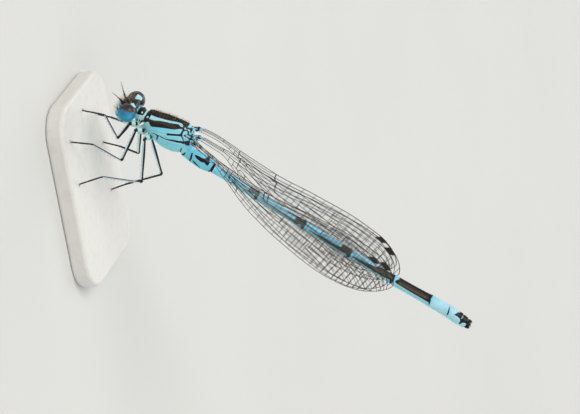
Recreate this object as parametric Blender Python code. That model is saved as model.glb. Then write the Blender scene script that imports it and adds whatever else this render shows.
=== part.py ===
"""Male azure damselfly at rest, wings closed, life size, standing on a plain flat base.

Lengths are in millimetres until the last step, which turns every mesh into metres.
The stance frame has its origin under the middle of the base, +X towards the tail,
-Y on the insect's left and +Z up. The body frame is tilted in it: its X runs along
the body towards the tail, its Y is the stance's Y and its Z is the insect's own up.
"""

import math

import bmesh
import bpy
from mathutils import Matrix, Vector

MM = 0.001
GAP = 0.26
LEFT, RIGHT = -1, 1

BODY_PITCH = math.radians(52)
BODY_ORIGIN = Vector((-2.0, 0, 10.8))

BASE_LENGTH = 16
BASE_WIDTH = 12
BASE_HEIGHT = 1.5
BASE_CORNER = 2.5
BASE_CORNER_STEPS = 6
BASE_EDGE = 0.25
BASE_EDGE_STEPS = 2
BASE_EDGE_ANGLE = math.radians(60)
FOOT_LEVEL = BASE_HEIGHT + 0.3

SHARP_ANGLE = math.radians(40)
THORAX_SIDES = 20
NECK_SIDES = 18
ABDOMEN_SIDES = 16
SIDES_OF_LUG = 10
ROD_SIDES = 8

EYE_CENTRE = Vector((-6.65, 1.38, 0.1))
EYE_RADII = Vector((0.75, 0.72, 0.77))
EYE_SEGMENTS = 24
EYE_ROWS = 16

HEAD_LUMPS = {
    "skull": ((-6.85, 0, 0), (0.62, 0.8, 0.78)),
    "vertex": ((-6.98, 0, 0.32), (0.48, 0.62, 0.42)),
    "occiput": ((-6.5, 0, 0.3), (0.36, 1.0, 0.5)),
    "frons": ((-7.28, 0, -0.3), (0.44, 0.74, 0.55)),
    "labrum": ((-7.2, 0, -1.0), (0.4, 0.6, 0.45)),
    "mouth": ((-6.9, 0, -1.15), (0.5, 0.55, 0.4)),
}
ANTENNA_POINTS = (
    (-7.2, 0.42, 0.1), (-7.75, 0.62, 0.48), (-8.15, 0.92, 0.72), (-8.55, 1.3, 0.95),
)
ANTENNA_RADII = (0.25, 0.25, 0.23, 0.12)

# Each ring of the trunk is its top and its bottom, as (along, up), and its half width.
NECK_RINGS = (
    ((-6.5, 0.2), (-6.45, -0.4), 0.3),
    ((-6.1, 0.28), (-6.05, -0.45), 0.36),
    ((-5.85, 0.5), (-5.82, -0.72), 0.58),
    ((-5.62, 0.58), (-5.55, -0.86), 0.68),
    ((-5.44, 0.5), (-5.32, -0.78), 0.6),
)
THORAX_RINGS = (
    ((-5.18, 0.52), (-5.02, -0.5), 0.52),
    ((-5.08, 0.76), (-4.85, -0.82), 0.78),
    ((-4.5, 0.97), (-4.3, -1.1), 0.98),
    ((-3.8, 1.18), (-3.6, -1.3), 1.08),
    ((-3.0, 1.37), (-2.75, -1.44), 1.12),
    ((-2.3, 1.48), (-2.0, -1.36), 1.1),
    ((-1.7, 1.52), (-1.6, -1.22), 0.98),
    ((-1.25, 1.3), (-1.45, -1.14), 0.84),
    ((-0.95, 0.75), (-1.38, -1.06), 0.64),
)
# Where the lug of a wing starts inside the thorax, ahead of and below the wing's hinge.
LUG_LEAD = 1.3
LUG_SIDE = 0.45
LUG_DROP = 0.2
LUG_RADII = (0.36, 0.24)

# Middle height and half height of the abdomen at the ring behind each segment.
FIRST_RING = (-1.3, -0.72, 0.5)
SEGMENT_RINGS = (
    (-0.41, -0.77, 0.55),
    (1.61, -0.76, 0.44),
    (5.93, -0.83, 0.4),
    (10.49, -0.89, 0.4),
    (14.89, -0.91, 0.41),
    (19.06, -0.87, 0.44),
    (22.54, -0.71, 0.5),
    (24.28, -0.66, 0.54),
    (25.45, -0.72, 0.52),
    (26.0, -0.74, 0.42),
)
SEGMENT_MIDDLES = (0.54, 0.64, 0.36, 0.36, 0.37, 0.38, 0.45, 0.52, 0.54, 0.5)
# How far a segment's radius has gone from its end's to its middle's, and where.
WAIST_SHARES = (0, 0.45, 1, 0.45, 0)
WAIST_SLOPE = 0.08
ABDOMEN_NARROWING = 0.95

CLASPER_LENGTH = 0.45
CLASPER_RADII = (0.17, 0.1)
CLASPER_SPREAD = 0.12
CLASPER_SPLAY = 0.03
CLASPER_HEIGHTS = (0.17, -0.19)
CLASPER_RISE = 0.3
CLASPER_ROOT = 0.05
TAIL_CAP_LENGTH = 0.2
TAIL_CAP_SHARE = 0.8
TAIL_CAP_WIDTH = 0.75

# Outline of each wing as (distance from the hinge, distance above the wing's axis).
WINGS = {
    "fore": {
        "hinge": (-0.95, 1.05),
        "dip": math.radians(4.2),
        "spread": ((0, 1.15), (0.7, 1.6), (1.4, 1.87), (2.2, 1.98), (20, 1.98)),
        "lead": (
            (0, 0.2), (3.5, 0.16), (7.3, 0.3), (11, 0.85), (15.3, 1.28),
            (17.2, 1.24), (18.5, 0.92), (19.3, 0.4), (19.65, 0.1),
        ),
        "trail": (
            (0, -0.22), (2.6, -0.26), (4.2, -0.6), (6.2, -1.25), (9, -2.05), (12, -2.55),
            (15, -2.75), (17, -2.5), (18.5, -1.8), (19.35, -0.95), (19.65, -0.45),
        ),
        "stigma": (17.1, 17.9),
    },
    "hind": {
        "hinge": (-0.55, 0.58),
        "dip": math.radians(2.8),
        "spread": ((0, 0.76), (1.5, 0.9), (3, 1.1), (20, 1.1)),
        "lead": (
            (0, 0.2), (3.5, 0.18), (7.6, 0.32), (11, 0.88), (15.7, 1.4),
            (17.3, 1.34), (18.5, 1.0), (19.4, 0.4), (19.8, -0.1),
        ),
        "trail": (
            (0, -0.22), (1.9, -0.28), (3.7, -0.92), (5.5, -1.7), (7, -2.2), (10, -2.8),
            (14, -3.15), (16, -2.97), (17.8, -2.45), (19.3, -1.45), (19.8, -0.65),
        ),
        "stigma": (17.6, 18.4),
    },
}
WING_COLUMNS = 24
WING_TIP_CROWDING = 1.25
ON_EDGE = 0.01
MEMBRANE_HALF = 0.22
VEIN_HALF = 0.29
# Where each main vein crosses the wing, from the leading edge to the trailing edge.
VEIN_PLACES = (0.0, 0.17, 0.36, 0.57, 0.78)

# Joints of each leg in the stance frame: hip, trochanter, knee, ankle and claw.
LEGS = {
    "leg_front_left": ((-4.83, -0.5, 6), (-5.25, -1.4, 5.73), (-4.75, -3.3, 5.14),
                       (-6.32, -1.9, 3.92), (-6.35, -0.65, 2.05)),
    "leg_mid_left": ((-4.11, -0.5, 6.5), (-4.69, -1.4, 6.15), (-2.64, -3, 4.99),
                     (-4.59, -3.9, 3.13), (-5.13, -4.5, 2.05)),
    "leg_hind_left": ((-3.64, -0.5, 7), (-3.89, -1.4, 6.75), (-0.58, -2.9, 6.32),
                      (-1.73, -4, 3.46), (-1.37, -4.45, 2.05)),
    "leg_front_right": ((-4.83, 0.5, 6), (-4.2, 1.1, 5.3), (-3.67, 3.2, 3.45),
                        (-4.58, 2, 2.93), (-4.6, 2.75, 2.05)),
    "leg_mid_right": ((-4.11, 0.5, 6.5), (-3.8, 1.2, 5.6), (-1.02, 2.5, 4.53),
                      (-1.32, 3.6, 2.61), (-2.1, 2.75, 2.05)),
    "leg_hind_right": ((-3.64, 0.5, 7), (-3, 1.2, 6.35), (0.9, 2.3, 6.28),
                       (2.12, 3.6, 2.51), (2.07, 2.5, 2.05)),
}
LEG_PIECES = ("coxa", "femur", "tibia", "tarsus")
LEG_RADII = (0.32, 0.29, 0.26, 0.25, 0.2)

COLOURS = {
    "sky_blue": ((0.2, 0.55, 0.8), 0.45),
    "black": ((0.02, 0.02, 0.025), 0.4),
    "eye_blue": ((0.05, 0.3, 0.45), 0.2),
    "wing": ((0.35, 0.36, 0.33), 0.3),
    "base": ((0.8, 0.8, 0.78), 0.5),
}


def clear_scene():
    """Empty the scene, so that only the model is in it."""
    for item in list(bpy.data.objects):
        bpy.data.objects.remove(item, do_unlink=True)


def make_material(name):
    """One Principled material in the named colour."""
    colour, roughness = COLOURS[name]
    material = bpy.data.materials.new(name)
    material.use_nodes = True
    shader = material.node_tree.nodes["Principled BSDF"]
    shader.inputs["Base Color"].default_value = (*colour, 1)
    shader.inputs["Roughness"].default_value = roughness
    shader.inputs["Metallic"].default_value = 0
    return material


def body_frame():
    """The empty that carries the body, tilted head down and tail up."""
    axis = bpy.data.objects.new("body_axis", None)
    axis.location = BODY_ORIGIN
    axis.rotation_euler = (0, -BODY_PITCH, 0)
    bpy.context.scene.collection.objects.link(axis)
    return axis


def add_object(name, bm, parent=None):
    """Turn a closed bmesh into an object with its faces pointing out."""
    bmesh.ops.recalc_face_normals(bm, faces=bm.faces)
    mesh = bpy.data.meshes.new(name)
    bm.to_mesh(mesh)
    bm.free()
    item = bpy.data.objects.new(name, mesh)
    item.parent = parent
    bpy.context.scene.collection.objects.link(item)
    return item


def loft(rings):
    """Skin a row of rings that hold equally many points, with flat ends."""
    bm = bmesh.new()
    loops = [[bm.verts.new(point) for point in ring] for ring in rings]
    count = len(loops[0])
    for low, high in zip(loops, loops[1:]):
        for i in range(count):
            j = (i + 1) % count
            bm.faces.new((low[i], low[j], high[j], high[i]))
    bm.faces.new(loops[0])
    bm.faces.new(loops[-1])
    return bm


def oval(top, bottom, half_width, sides):
    """Points round an oval that stands in the body's middle plane from bottom to top."""
    high = Vector((top[0], 0, top[1]))
    low = Vector((bottom[0], 0, bottom[1]))
    middle = (high + low) / 2
    half = (high - low) / 2
    turns = (2 * math.pi * i / sides for i in range(sides))
    return [middle + half * math.cos(a) + Vector((0, half_width * math.sin(a), 0)) for a in turns]


def ellipsoid(centre, radii, segments=18, rings=12):
    """A closed ellipsoid, with its poles on the Y axis."""
    bm = bmesh.new()
    bmesh.ops.create_uvsphere(bm, u_segments=segments, v_segments=rings, radius=1)
    turn = Matrix.Rotation(math.pi / 2, 4, "X")
    place = Matrix.Translation(centre) @ Matrix.Diagonal((*radii, 1)) @ turn
    bmesh.ops.transform(bm, matrix=place, verts=bm.verts)
    return bm


def apply_modifiers(item):
    """Replace the object's mesh with the result of its modifiers."""
    bpy.context.view_layer.update()
    graph = bpy.context.evaluated_depsgraph_get()
    result = bpy.data.meshes.new_from_object(item.evaluated_get(graph))
    item.modifiers.clear()
    item.data = result


def keep_largest(item):
    """Delete every closed surface of the object but the largest."""
    bm = bmesh.new()
    bm.from_mesh(item.data)
    waiting = set(bm.verts)
    shells = []
    while waiting:
        shell = {waiting.pop()}
        edge_of_shell = list(shell)
        while edge_of_shell:
            vert = edge_of_shell.pop()
            found = {edge.other_vert(vert) for edge in vert.link_edges} - shell
            shell |= found
            edge_of_shell.extend(found)
        waiting -= shell
        shells.append(shell)
    largest = max(shells, key=len)
    loose = [vert for vert in bm.verts if vert not in largest]
    bmesh.ops.delete(bm, geom=loose, context="VERTS")
    bm.to_mesh(item.data)
    bm.free()


def join(item, others):
    """Fuse closed objects into one and remove the ones that were added."""
    group = bpy.data.collections.new(item.name + "_pieces")
    for other in others:
        group.objects.link(other)
    union = item.modifiers.new("join", "BOOLEAN")
    union.operation = "UNION"
    union.operand_type = "COLLECTION"
    union.collection = group
    apply_modifiers(item)
    for other in others:
        bpy.data.objects.remove(other, do_unlink=True)
    bpy.data.collections.remove(group)
    keep_largest(item)


def cut(item, cutter):
    """Take the cutter's shape out of the object and remove the cutter."""
    cutter.hide_render = True
    cutter.display_type = "WIRE"
    difference = item.modifiers.new("cut", "BOOLEAN")
    difference.operation = "DIFFERENCE"
    difference.object = cutter
    apply_modifiers(item)
    bpy.data.objects.remove(cutter, do_unlink=True)
    keep_largest(item)


def grown(radii):
    """Radii of an ellipsoid one gap larger all round."""
    return Vector(radii) + Vector((GAP, GAP, GAP))


def clear_of_trunk(item, rings, axis):
    """Cut the object back until it is one gap away from a piece of the trunk."""
    bm = loft([oval(*ring, THORAX_SIDES) for ring in rings])
    bmesh.ops.recalc_face_normals(bm, faces=bm.faces)
    bm.normal_update()
    moved = [(vert, vert.co + vert.normal * GAP) for vert in bm.verts]
    for vert, place in moved:
        vert.co = place
    cut(item, add_object("clearance", bm, axis))


def clear_of_head(item, axis):
    """Cut the object back until it is one gap away from the head."""
    for centre, radii in HEAD_LUMPS.values():
        cut(item, add_object("clearance", ellipsoid(centre, grown(radii)), axis))


def curve_value(points, x):
    """Height at x of a smooth curve through (x, height) points."""
    last = len(points) - 1
    i = next((k for k in range(last) if x <= points[k + 1][0]), last - 1)
    before, start = points[max(i - 1, 0)], points[i]
    end, after = points[i + 1], points[min(i + 2, last)]
    span = end[0] - start[0]
    t = min(max((x - start[0]) / span, 0), 1)
    slope_in = (end[1] - before[1]) / (end[0] - before[0]) * span
    slope_out = (after[1] - start[1]) / (after[0] - start[0]) * span
    return (
        (2 * t**3 - 3 * t**2 + 1) * start[1]
        + (t**3 - 2 * t**2 + t) * slope_in
        + (3 * t**2 - 2 * t**3) * end[1]
        + (t**3 - t**2) * slope_out
    )


def rod(points, radii, sides, start_normal=None, end_normal=None):
    """A tube along a row of points. Its end faces may be slanted to given normals."""
    points = [Vector(point) for point in points]
    steps = [(b - a).normalized() for a, b in zip(points, points[1:])]
    side = steps[0].orthogonal().normalized()
    rings = []
    for i, (centre, radius) in enumerate(zip(points, radii)):
        before = steps[max(i - 1, 0)]
        after = steps[min(i, len(steps) - 1)]
        travel = (before + after).normalized()
        normal = travel
        if i == 0 and start_normal is not None:
            normal = start_normal
        if i == len(points) - 1 and end_normal is not None:
            normal = end_normal
        side = (side - travel * side.dot(travel)).normalized()
        up = travel.cross(side)
        ring = []
        for k in range(sides):
            angle = 2 * math.pi * k / sides
            spoke = (side * math.cos(angle) + up * math.sin(angle)) * radius
            slide = -spoke.dot(normal) / travel.dot(normal)
            ring.append(centre + spoke + travel * slide)
        rings.append(ring)
    return loft(rings)


def make_head(axis):
    """Head capsule between the eyes, with brow, lip and mouth."""
    lumps = [
        add_object("head_" + name, ellipsoid(centre, radii), axis)
        for name, (centre, radii) in HEAD_LUMPS.items()
    ]
    head = lumps[0]
    join(head, lumps[1:])
    head.name = "head"
    return head


def make_eye(side, name, axis):
    """One eye, an almost round ball hollowed where it sits on the side of the head."""
    centre = EYE_CENTRE * Vector((1, side, 1))
    eye = add_object(name, ellipsoid(centre, EYE_RADII, EYE_SEGMENTS, EYE_ROWS), axis)
    clear_of_head(eye, axis)
    return eye


def make_antenna(side, name, axis):
    """One short feeler, thick at the root and drawn out to its tip."""
    points = [Vector(point) * Vector((1, side, 1)) for point in ANTENNA_POINTS]
    antenna = add_object(name, rod(points, ANTENNA_RADII, ROD_SIDES), axis)
    clear_of_head(antenna, axis)
    return antenna


def make_trunk_piece(name, rings, axis, sides):
    """A piece of the trunk from its rings."""
    return add_object(name, loft([oval(*ring, sides) for ring in rings]), axis)


def make_thorax(axis):
    """Thorax with a short lug on each side for each wing to hinge on."""
    thorax = make_trunk_piece("thorax", THORAX_RINGS, axis, THORAX_SIDES)
    lugs = []
    for spec in WINGS.values():
        along, up = spec["hinge"]
        reach = Vector((math.cos(spec["dip"]), 0, -math.sin(spec["dip"])))
        for side in (LEFT, RIGHT):
            hinge = Vector((along, side * spec["spread"][0][1], up))
            face = hinge - reach * GAP
            inner = Vector((along - LUG_LEAD, side * LUG_SIDE, up - LUG_DROP))
            lug = rod((inner, face), LUG_RADII, SIDES_OF_LUG, end_normal=reach)
            lugs.append(add_object("lug", lug, axis))
    join(thorax, lugs)
    return thorax


def make_segment(index, axis):
    """One ring of the abdomen, waisted between its two ends."""
    rings = (FIRST_RING, *SEGMENT_RINGS)
    start, end = Vector(rings[index]), Vector(rings[index + 1])
    middle = SEGMENT_MIDDLES[index]
    length = end.x - start.x
    trim = GAP / 2 / length
    places = (trim, trim + WAIST_SLOPE, 0.5, 1 - trim - WAIST_SLOPE, 1 - trim)
    loops = []
    for t, share in zip(places, WAIST_SHARES):
        along, up, radius = start.lerp(end, t)
        radius += (middle - radius) * share
        half_width = radius * ABDOMEN_NARROWING
        loops.append(oval((along, up + radius), (along, up - radius), half_width, ABDOMEN_SIDES))
    return add_object(f"abdomen_{index + 1:02}", loft(loops), axis)


def make_appendages(axis):
    """The four short claspers at the tip of the tail, on one root."""
    along, up, radius = SEGMENT_RINGS[-1]
    start = along + GAP / 2
    half_height = radius * TAIL_CAP_SHARE
    half_width = radius * TAIL_CAP_WIDTH
    cap = loft([
        oval((x, up + half_height), (x, up - half_height), half_width, ABDOMEN_SIDES)
        for x in (start, start + TAIL_CAP_LENGTH)
    ])
    appendages = add_object("appendages", cap, axis)
    claspers = []
    for side in (LEFT, RIGHT):
        for height in CLASPER_HEIGHTS:
            foot = Vector((start + CLASPER_ROOT, side * CLASPER_SPREAD, up + height))
            reach = Vector((CLASPER_LENGTH, side * CLASPER_SPLAY, height * CLASPER_RISE))
            clasper = rod((foot, foot + reach), CLASPER_RADII, ROD_SIDES)
            claspers.append(add_object("clasper", clasper, axis))
    join(appendages, claspers)
    return appendages


def wing_columns(spec):
    """Distances from the hinge of the wing's columns, closer together at the tip."""
    length = spec["lead"][-1][0]
    left = (1 - i / WING_COLUMNS for i in range(WING_COLUMNS + 1))
    places = [length * (1 - share**WING_TIP_CROWDING) for share in left]
    for edge in spec["stigma"]:
        nearest = min(range(1, WING_COLUMNS), key=lambda i: abs(places[i] - edge))
        places[nearest] = edge
    return places


def wing_rows():
    """Shares of the wing's width, and whether a vein runs there."""
    rows = []
    ends = (*VEIN_PLACES[1:], 1.0)
    for place, following in zip(VEIN_PLACES, ends):
        rows.append((place, True))
        rows.append(((place + following) / 2, False))
    rows.append((1.0, False))
    return rows


def make_wing(pair, side, name, axis):
    """A wing blade whose main veins and dark spot stand up from both faces."""
    spec = WINGS[pair]
    along, up = spec["hinge"]
    dip = spec["dip"]
    columns = wing_columns(spec)
    rows = wing_rows()
    first, last = spec["stigma"]
    bm = bmesh.new()
    faces = {LEFT: [], RIGHT: []}
    for s in columns:
        lead = curve_value(spec["lead"], s)
        trail = curve_value(spec["trail"], s)
        spread = side * curve_value(spec["spread"], s)
        lines = {LEFT: [], RIGHT: []}
        for share, is_vein in rows:
            t = lead + (trail - lead) * share
            on_stigma = first - ON_EDGE <= s <= last + ON_EDGE and share <= VEIN_PLACES[1]
            half = VEIN_HALF if is_vein or on_stigma else MEMBRANE_HALF
            x = along + s * math.cos(dip) + t * math.sin(dip)
            z = up - s * math.sin(dip) + t * math.cos(dip)
            for face in (LEFT, RIGHT):
                lines[face].append(bm.verts.new((x, spread + face * half, z)))
        for face in (LEFT, RIGHT):
            faces[face].append(lines[face])
    for grid in faces.values():
        for i in range(len(columns) - 1):
            for j in range(len(rows) - 1):
                a, b = grid[i][j], grid[i + 1][j]
                c, d = grid[i + 1][j + 1], grid[i][j + 1]
                bm.faces.new((a, b, c))
                bm.faces.new((a, c, d))
    left, right = faces[LEFT], faces[RIGHT]
    for i in range(len(columns) - 1):
        for j in (0, -1):
            bm.faces.new((left[i][j], left[i + 1][j], right[i + 1][j], right[i][j]))
    for i in (0, -1):
        for j in range(len(rows) - 1):
            bm.faces.new((left[i][j], left[i][j + 1], right[i][j + 1], right[i][j]))
    return add_object(name, bm, axis)


def make_leg(name, joints, axis):
    """Coxa, femur, tibia and tarsus, mitred at their joints, with a flat foot."""
    points = [Vector(joint) for joint in joints]
    steps = [(b - a).normalized() for a, b in zip(points, points[1:])]
    mitres = [(a + b).normalized() for a, b in zip(steps, steps[1:])]
    pieces = []
    for i, piece in enumerate(LEG_PIECES):
        start, end = points[i], points[i + 1]
        start_normal = mitres[i - 1] if i > 0 else None
        end_normal = mitres[i] if i < len(mitres) else None
        if start_normal is not None:
            start = start + steps[i] * (GAP / 2 / steps[i].dot(start_normal))
        if end_normal is not None:
            end = end - steps[i] * (GAP / 2 / steps[i].dot(end_normal))
        radii = (LEG_RADII[i], LEG_RADII[i + 1])
        shape = rod((start, end), radii, ROD_SIDES, start_normal, end_normal)
        pieces.append(add_object(f"{name}_{piece}", shape))
    clear_of_trunk(pieces[0], THORAX_RINGS, axis)
    clear_of_trunk(pieces[0], NECK_RINGS, axis)
    flatten_foot(pieces[-1])
    return pieces


def flatten_foot(tarsus):
    """Lift whatever hangs below the foot level, which leaves a small flat sole."""
    for vert in tarsus.data.vertices:
        vert.co.z = max(vert.co.z, FOOT_LEVEL)


def make_base():
    """A plain plate with round corners and softened edges, under the feet and the tail."""
    bm = bmesh.new()
    bmesh.ops.create_cube(bm, size=1)
    size = Matrix.Diagonal((BASE_LENGTH, BASE_WIDTH, BASE_HEIGHT, 1))
    lift = Matrix.Translation((0, 0, BASE_HEIGHT / 2))
    bmesh.ops.transform(bm, matrix=lift @ size, verts=bm.verts)
    corners = [
        edge for edge in bm.edges
        if abs(edge.verts[0].co.z - edge.verts[1].co.z) > BASE_HEIGHT / 2
    ]
    bmesh.ops.bevel(
        bm, geom=corners, offset=BASE_CORNER, segments=BASE_CORNER_STEPS,
        profile=0.5, affect="EDGES",
    )
    base = add_object("stand_base", bm)
    soften = base.modifiers.new("soften", "BEVEL")
    soften.width = BASE_EDGE
    soften.segments = BASE_EDGE_STEPS
    soften.limit_method = "ANGLE"
    soften.angle_limit = BASE_EDGE_ANGLE
    return base


def finish(item, material):
    """Give the object its material, smooth its round sides and turn it into metres."""
    for modifier in item.modifiers:
        if modifier.type == "BEVEL":
            modifier.width *= MM
    item.data.transform(Matrix.Scale(MM, 4))
    item.data.materials.clear()
    item.data.materials.append(material)
    item.data.shade_smooth()
    item.data.set_sharp_from_angle(angle=SHARP_ANGLE)


def main():
    clear_scene()
    axis = body_frame()
    head = make_head(axis)
    prothorax = make_trunk_piece("prothorax", NECK_RINGS, axis, NECK_SIDES)
    clear_of_head(prothorax, axis)
    legs = []
    for name, joints in LEGS.items():
        legs.extend(make_leg(name, joints, axis))
    segments = [make_segment(index, axis) for index in range(len(SEGMENT_RINGS))]
    clear_of_trunk(segments[0], THORAX_RINGS, axis)

    colours = {
        "sky_blue": [head, prothorax, make_thorax(axis), *segments],
        "black": [make_appendages(axis), *legs],
        "eye_blue": [],
        "wing": [],
        "base": [make_base()],
    }
    for side, word in ((LEFT, "left"), (RIGHT, "right")):
        colours["eye_blue"].append(make_eye(side, "eye_" + word, axis))
        colours["black"].append(make_antenna(side, "antenna_" + word, axis))
        for pair in WINGS:
            colours["wing"].append(make_wing(pair, side, f"wing_{pair}_{word}", axis))
    for name, items in colours.items():
        material = make_material(name)
        for item in items:
            finish(item, material)
    axis.location *= MM


main()
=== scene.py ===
"""Looks of a male azure damselfly that rests with closed wings on a flat museum base.

Shapes are worked out in millimetres in the insect's own frame: along its body towards the
tail, out to its right side, and up out of its back. to_stance() tilts them over the base.
Markings are drawn on the unrolled skin: distance along the body, and distance round it from
the middle of the back, both in millimetres. They are the same on the left and the right.
"""

import math
import random

import bmesh
import bpy
import numpy as np
from mathutils import Matrix, Vector


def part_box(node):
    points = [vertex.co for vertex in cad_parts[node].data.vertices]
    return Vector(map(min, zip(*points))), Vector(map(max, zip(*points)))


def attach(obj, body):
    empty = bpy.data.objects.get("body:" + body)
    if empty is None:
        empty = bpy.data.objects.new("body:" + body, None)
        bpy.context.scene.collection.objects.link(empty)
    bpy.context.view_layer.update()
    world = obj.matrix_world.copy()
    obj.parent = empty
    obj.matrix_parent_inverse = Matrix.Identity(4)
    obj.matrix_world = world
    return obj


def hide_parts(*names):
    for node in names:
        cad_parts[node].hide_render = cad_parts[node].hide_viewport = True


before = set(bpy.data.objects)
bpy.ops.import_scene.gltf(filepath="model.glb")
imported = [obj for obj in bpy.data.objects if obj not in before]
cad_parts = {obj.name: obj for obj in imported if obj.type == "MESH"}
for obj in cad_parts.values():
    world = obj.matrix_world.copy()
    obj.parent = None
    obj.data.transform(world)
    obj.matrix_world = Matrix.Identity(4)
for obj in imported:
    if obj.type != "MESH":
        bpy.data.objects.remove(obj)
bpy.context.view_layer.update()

MM = 0.001
LEFT, RIGHT = -1, 1
BODY = "root"

BODY_PITCH = math.radians(52)
BODY_ORIGIN = np.array((-2.0, 0.0, 10.8))
BASE_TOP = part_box("stand_base")[1].z / MM

CAMERA_AZIMUTH = math.radians(-22.7)
CAMERA_ELEVATION = math.radians(16.8)
CAMERA_ROLL = math.radians(87.0)
CAMERA_DISTANCE = 300
CAMERA_AIM = (3.455, -0.054, 17.618)
SENSOR_WIDTH = 36
PHOTO_WIDTH = 580
PIXELS_PER_MM = 12.2

# Colours as red, green and blue from 0 to 255.
SKY_BLUE = (120, 206, 244)
CYAN = (120, 212, 226)
PALE_BLUE = (190, 232, 242)
MINT = (178, 220, 214)
LAVENDER = (188, 202, 222)
BLACK = (13, 12, 13)
BRONZE = (76, 60, 46)
STREAK = (108, 82, 58)
TAN = (206, 180, 140)
EYE_TEAL = (30, 142, 172)
EYE_DEEP = (8, 104, 156)
EYE_CAP = (46, 39, 38)
EYE_RUST = (116, 76, 74)
# The next colour is a painted highlight along the top of each eye's inner edge.
EYE_RIM_HIGHLIGHT = (140, 128, 122)
VEIN = (16, 14, 13)
MEMBRANE = (178, 186, 178)

# Top along, top up, bottom along, bottom up and half width of each ring of the trunk.
TRUNK_RINGS = (
    (-6.5, 0.12, -6.45, -0.3, 0.22),
    (-6.12, 0.24, -6.08, -0.4, 0.32),
    (-6.03, 0.44, -5.98, -0.6, 0.46),
    (-5.85, 0.5, -5.82, -0.72, 0.58),
    (-5.62, 0.58, -5.55, -0.86, 0.68),
    (-5.42, 0.55, -5.32, -0.74, 0.6),
    (-5.26, 0.5, -5.12, -0.5, 0.5),
    (-5.16, 0.76, -4.9, -0.76, 0.76),
    (-4.5, 0.97, -4.3, -1.1, 0.98),
    (-3.8, 1.18, -3.6, -1.3, 1.08),
    (-3.0, 1.37, -2.75, -1.44, 1.12),
    (-2.3, 1.48, -2.0, -1.36, 1.1),
    (-1.7, 1.52, -1.6, -1.22, 0.98),
    (-1.25, 1.3, -1.45, -1.14, 0.84),
    (-0.95, 0.75, -1.38, -1.06, 0.64),
    (-0.75, 0.12, -1.25, -1.12, 0.54),
    (-0.62, -0.18, -0.95, -1.26, 0.52),
)
# Along, middle height and half height where each segment of the abdomen ends.
SEGMENT_ENDS = (
    (-0.41, -0.77, 0.55),
    (1.61, -0.76, 0.44),
    (5.93, -0.83, 0.4),
    (10.49, -0.89, 0.4),
    (14.89, -0.91, 0.41),
    (19.06, -0.87, 0.44),
    (22.54, -0.71, 0.5),
    (24.28, -0.66, 0.54),
    (25.45, -0.72, 0.52),
    (26.0, -0.74, 0.42),
)
SEGMENT_WAISTS = (0.54, 0.64, 0.36, 0.36, 0.37, 0.38, 0.45, 0.52, 0.54, 0.5)
ABDOMEN_NARROWING = 0.95


def paint(colour):
    """The linear colour that the shaders want, from red, green and blue up to 255."""
    shares = (value / 255 for value in colour)
    linear = [s / 12.92 if s <= 0.04045 else ((s + 0.055) / 1.055) ** 2.4 for s in shares]
    return (*linear, 1.0)


def to_stance(points):
    """Tilt points of the insect's frame into the stance over the base, still in millimetres."""
    points = np.asarray(points, float).reshape(-1, 3)
    along, side, up = points.T
    x = along * math.cos(BODY_PITCH) - up * math.sin(BODY_PITCH)
    z = along * math.sin(BODY_PITCH) + up * math.cos(BODY_PITCH)
    return np.stack((x, side, z), 1) + BODY_ORIGIN


def through(places, rows, x):
    """Values at x of a smooth curve through the rows, which never swings past them."""
    places, rows, x = (np.asarray(values, float) for values in (places, rows, x))
    if rows.ndim == 1:
        return through(places, rows[:, None], x)[:, 0]
    step = np.diff(places)[:, None]
    slope = np.diff(rows, axis=0) / step
    product = slope[1:] * slope[:-1]
    total = np.where(product > 0, slope[1:] + slope[:-1], 1)
    inner = np.where(product > 0, 2 * product / total, 0)
    bend = np.vstack((slope[:1], inner, slope[-1:]))
    i = np.clip(np.searchsorted(places, x, side="right") - 1, 0, len(places) - 2)
    t = np.clip((x - places[i]) / step[i, 0], 0, 1)[:, None]
    return (
        (2 * t**3 - 3 * t**2 + 1) * rows[i]
        + (t**3 - 2 * t**2 + t) * step[i] * bend[i]
        + (3 * t**2 - 2 * t**3) * rows[i + 1]
        + (t**3 - t**2) * step[i] * bend[i + 1]
    )


def rise(x, start, end):
    """A soft step from 0 at start to 1 at end."""
    t = np.clip((np.asarray(x, float) - start) / (end - start), 0, 1)
    return t * t * (3 - 2 * t)


def hump(x, middle, width):
    """A bell of height 1 about the middle."""
    return np.exp(-(((np.asarray(x, float) - middle) / width) ** 2))


def line_distance(points, path):
    """Distance from points to a line that swells and thins, less its half width.

    Each row of the path is a place and then the half width there.
    """
    best = np.full(len(points), 9.0)
    for start, end in zip(path, path[1:]):
        a, b = np.array(start[:-1], float), np.array(end[:-1], float)
        span = b - a
        t = np.clip((points - a) @ span / max(span @ span, 1e-12), 0, 1)
        gap = np.linalg.norm(points - a - t[:, None] * span, axis=1)
        best = np.minimum(best, gap - (start[-1] + (end[-1] - start[-1]) * t))
    return best


def patch_distance(points, outline):
    """Signed distance from flat points to a closed outline, negative inside."""
    x, y = points.T
    inside = np.zeros(len(points), bool)
    for (ax, ay), (bx, by) in zip(outline, (*outline[1:], outline[0])):
        if ay == by:
            continue
        inside ^= ((ay > y) != (by > y)) & (x < (bx - ax) * (y - ay) / (by - ay) + ax)
    edge = line_distance(points, [(*corner, 0.0) for corner in (*outline, outline[0])])
    return np.where(inside, -edge, edge)


# Meshes

PLAIN_VALUES = {"dark": 9.0, "pale": 0.0, "warm": 0.0, "mint": 0.0, "tan": 0.0, "back": 0.5}


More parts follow.
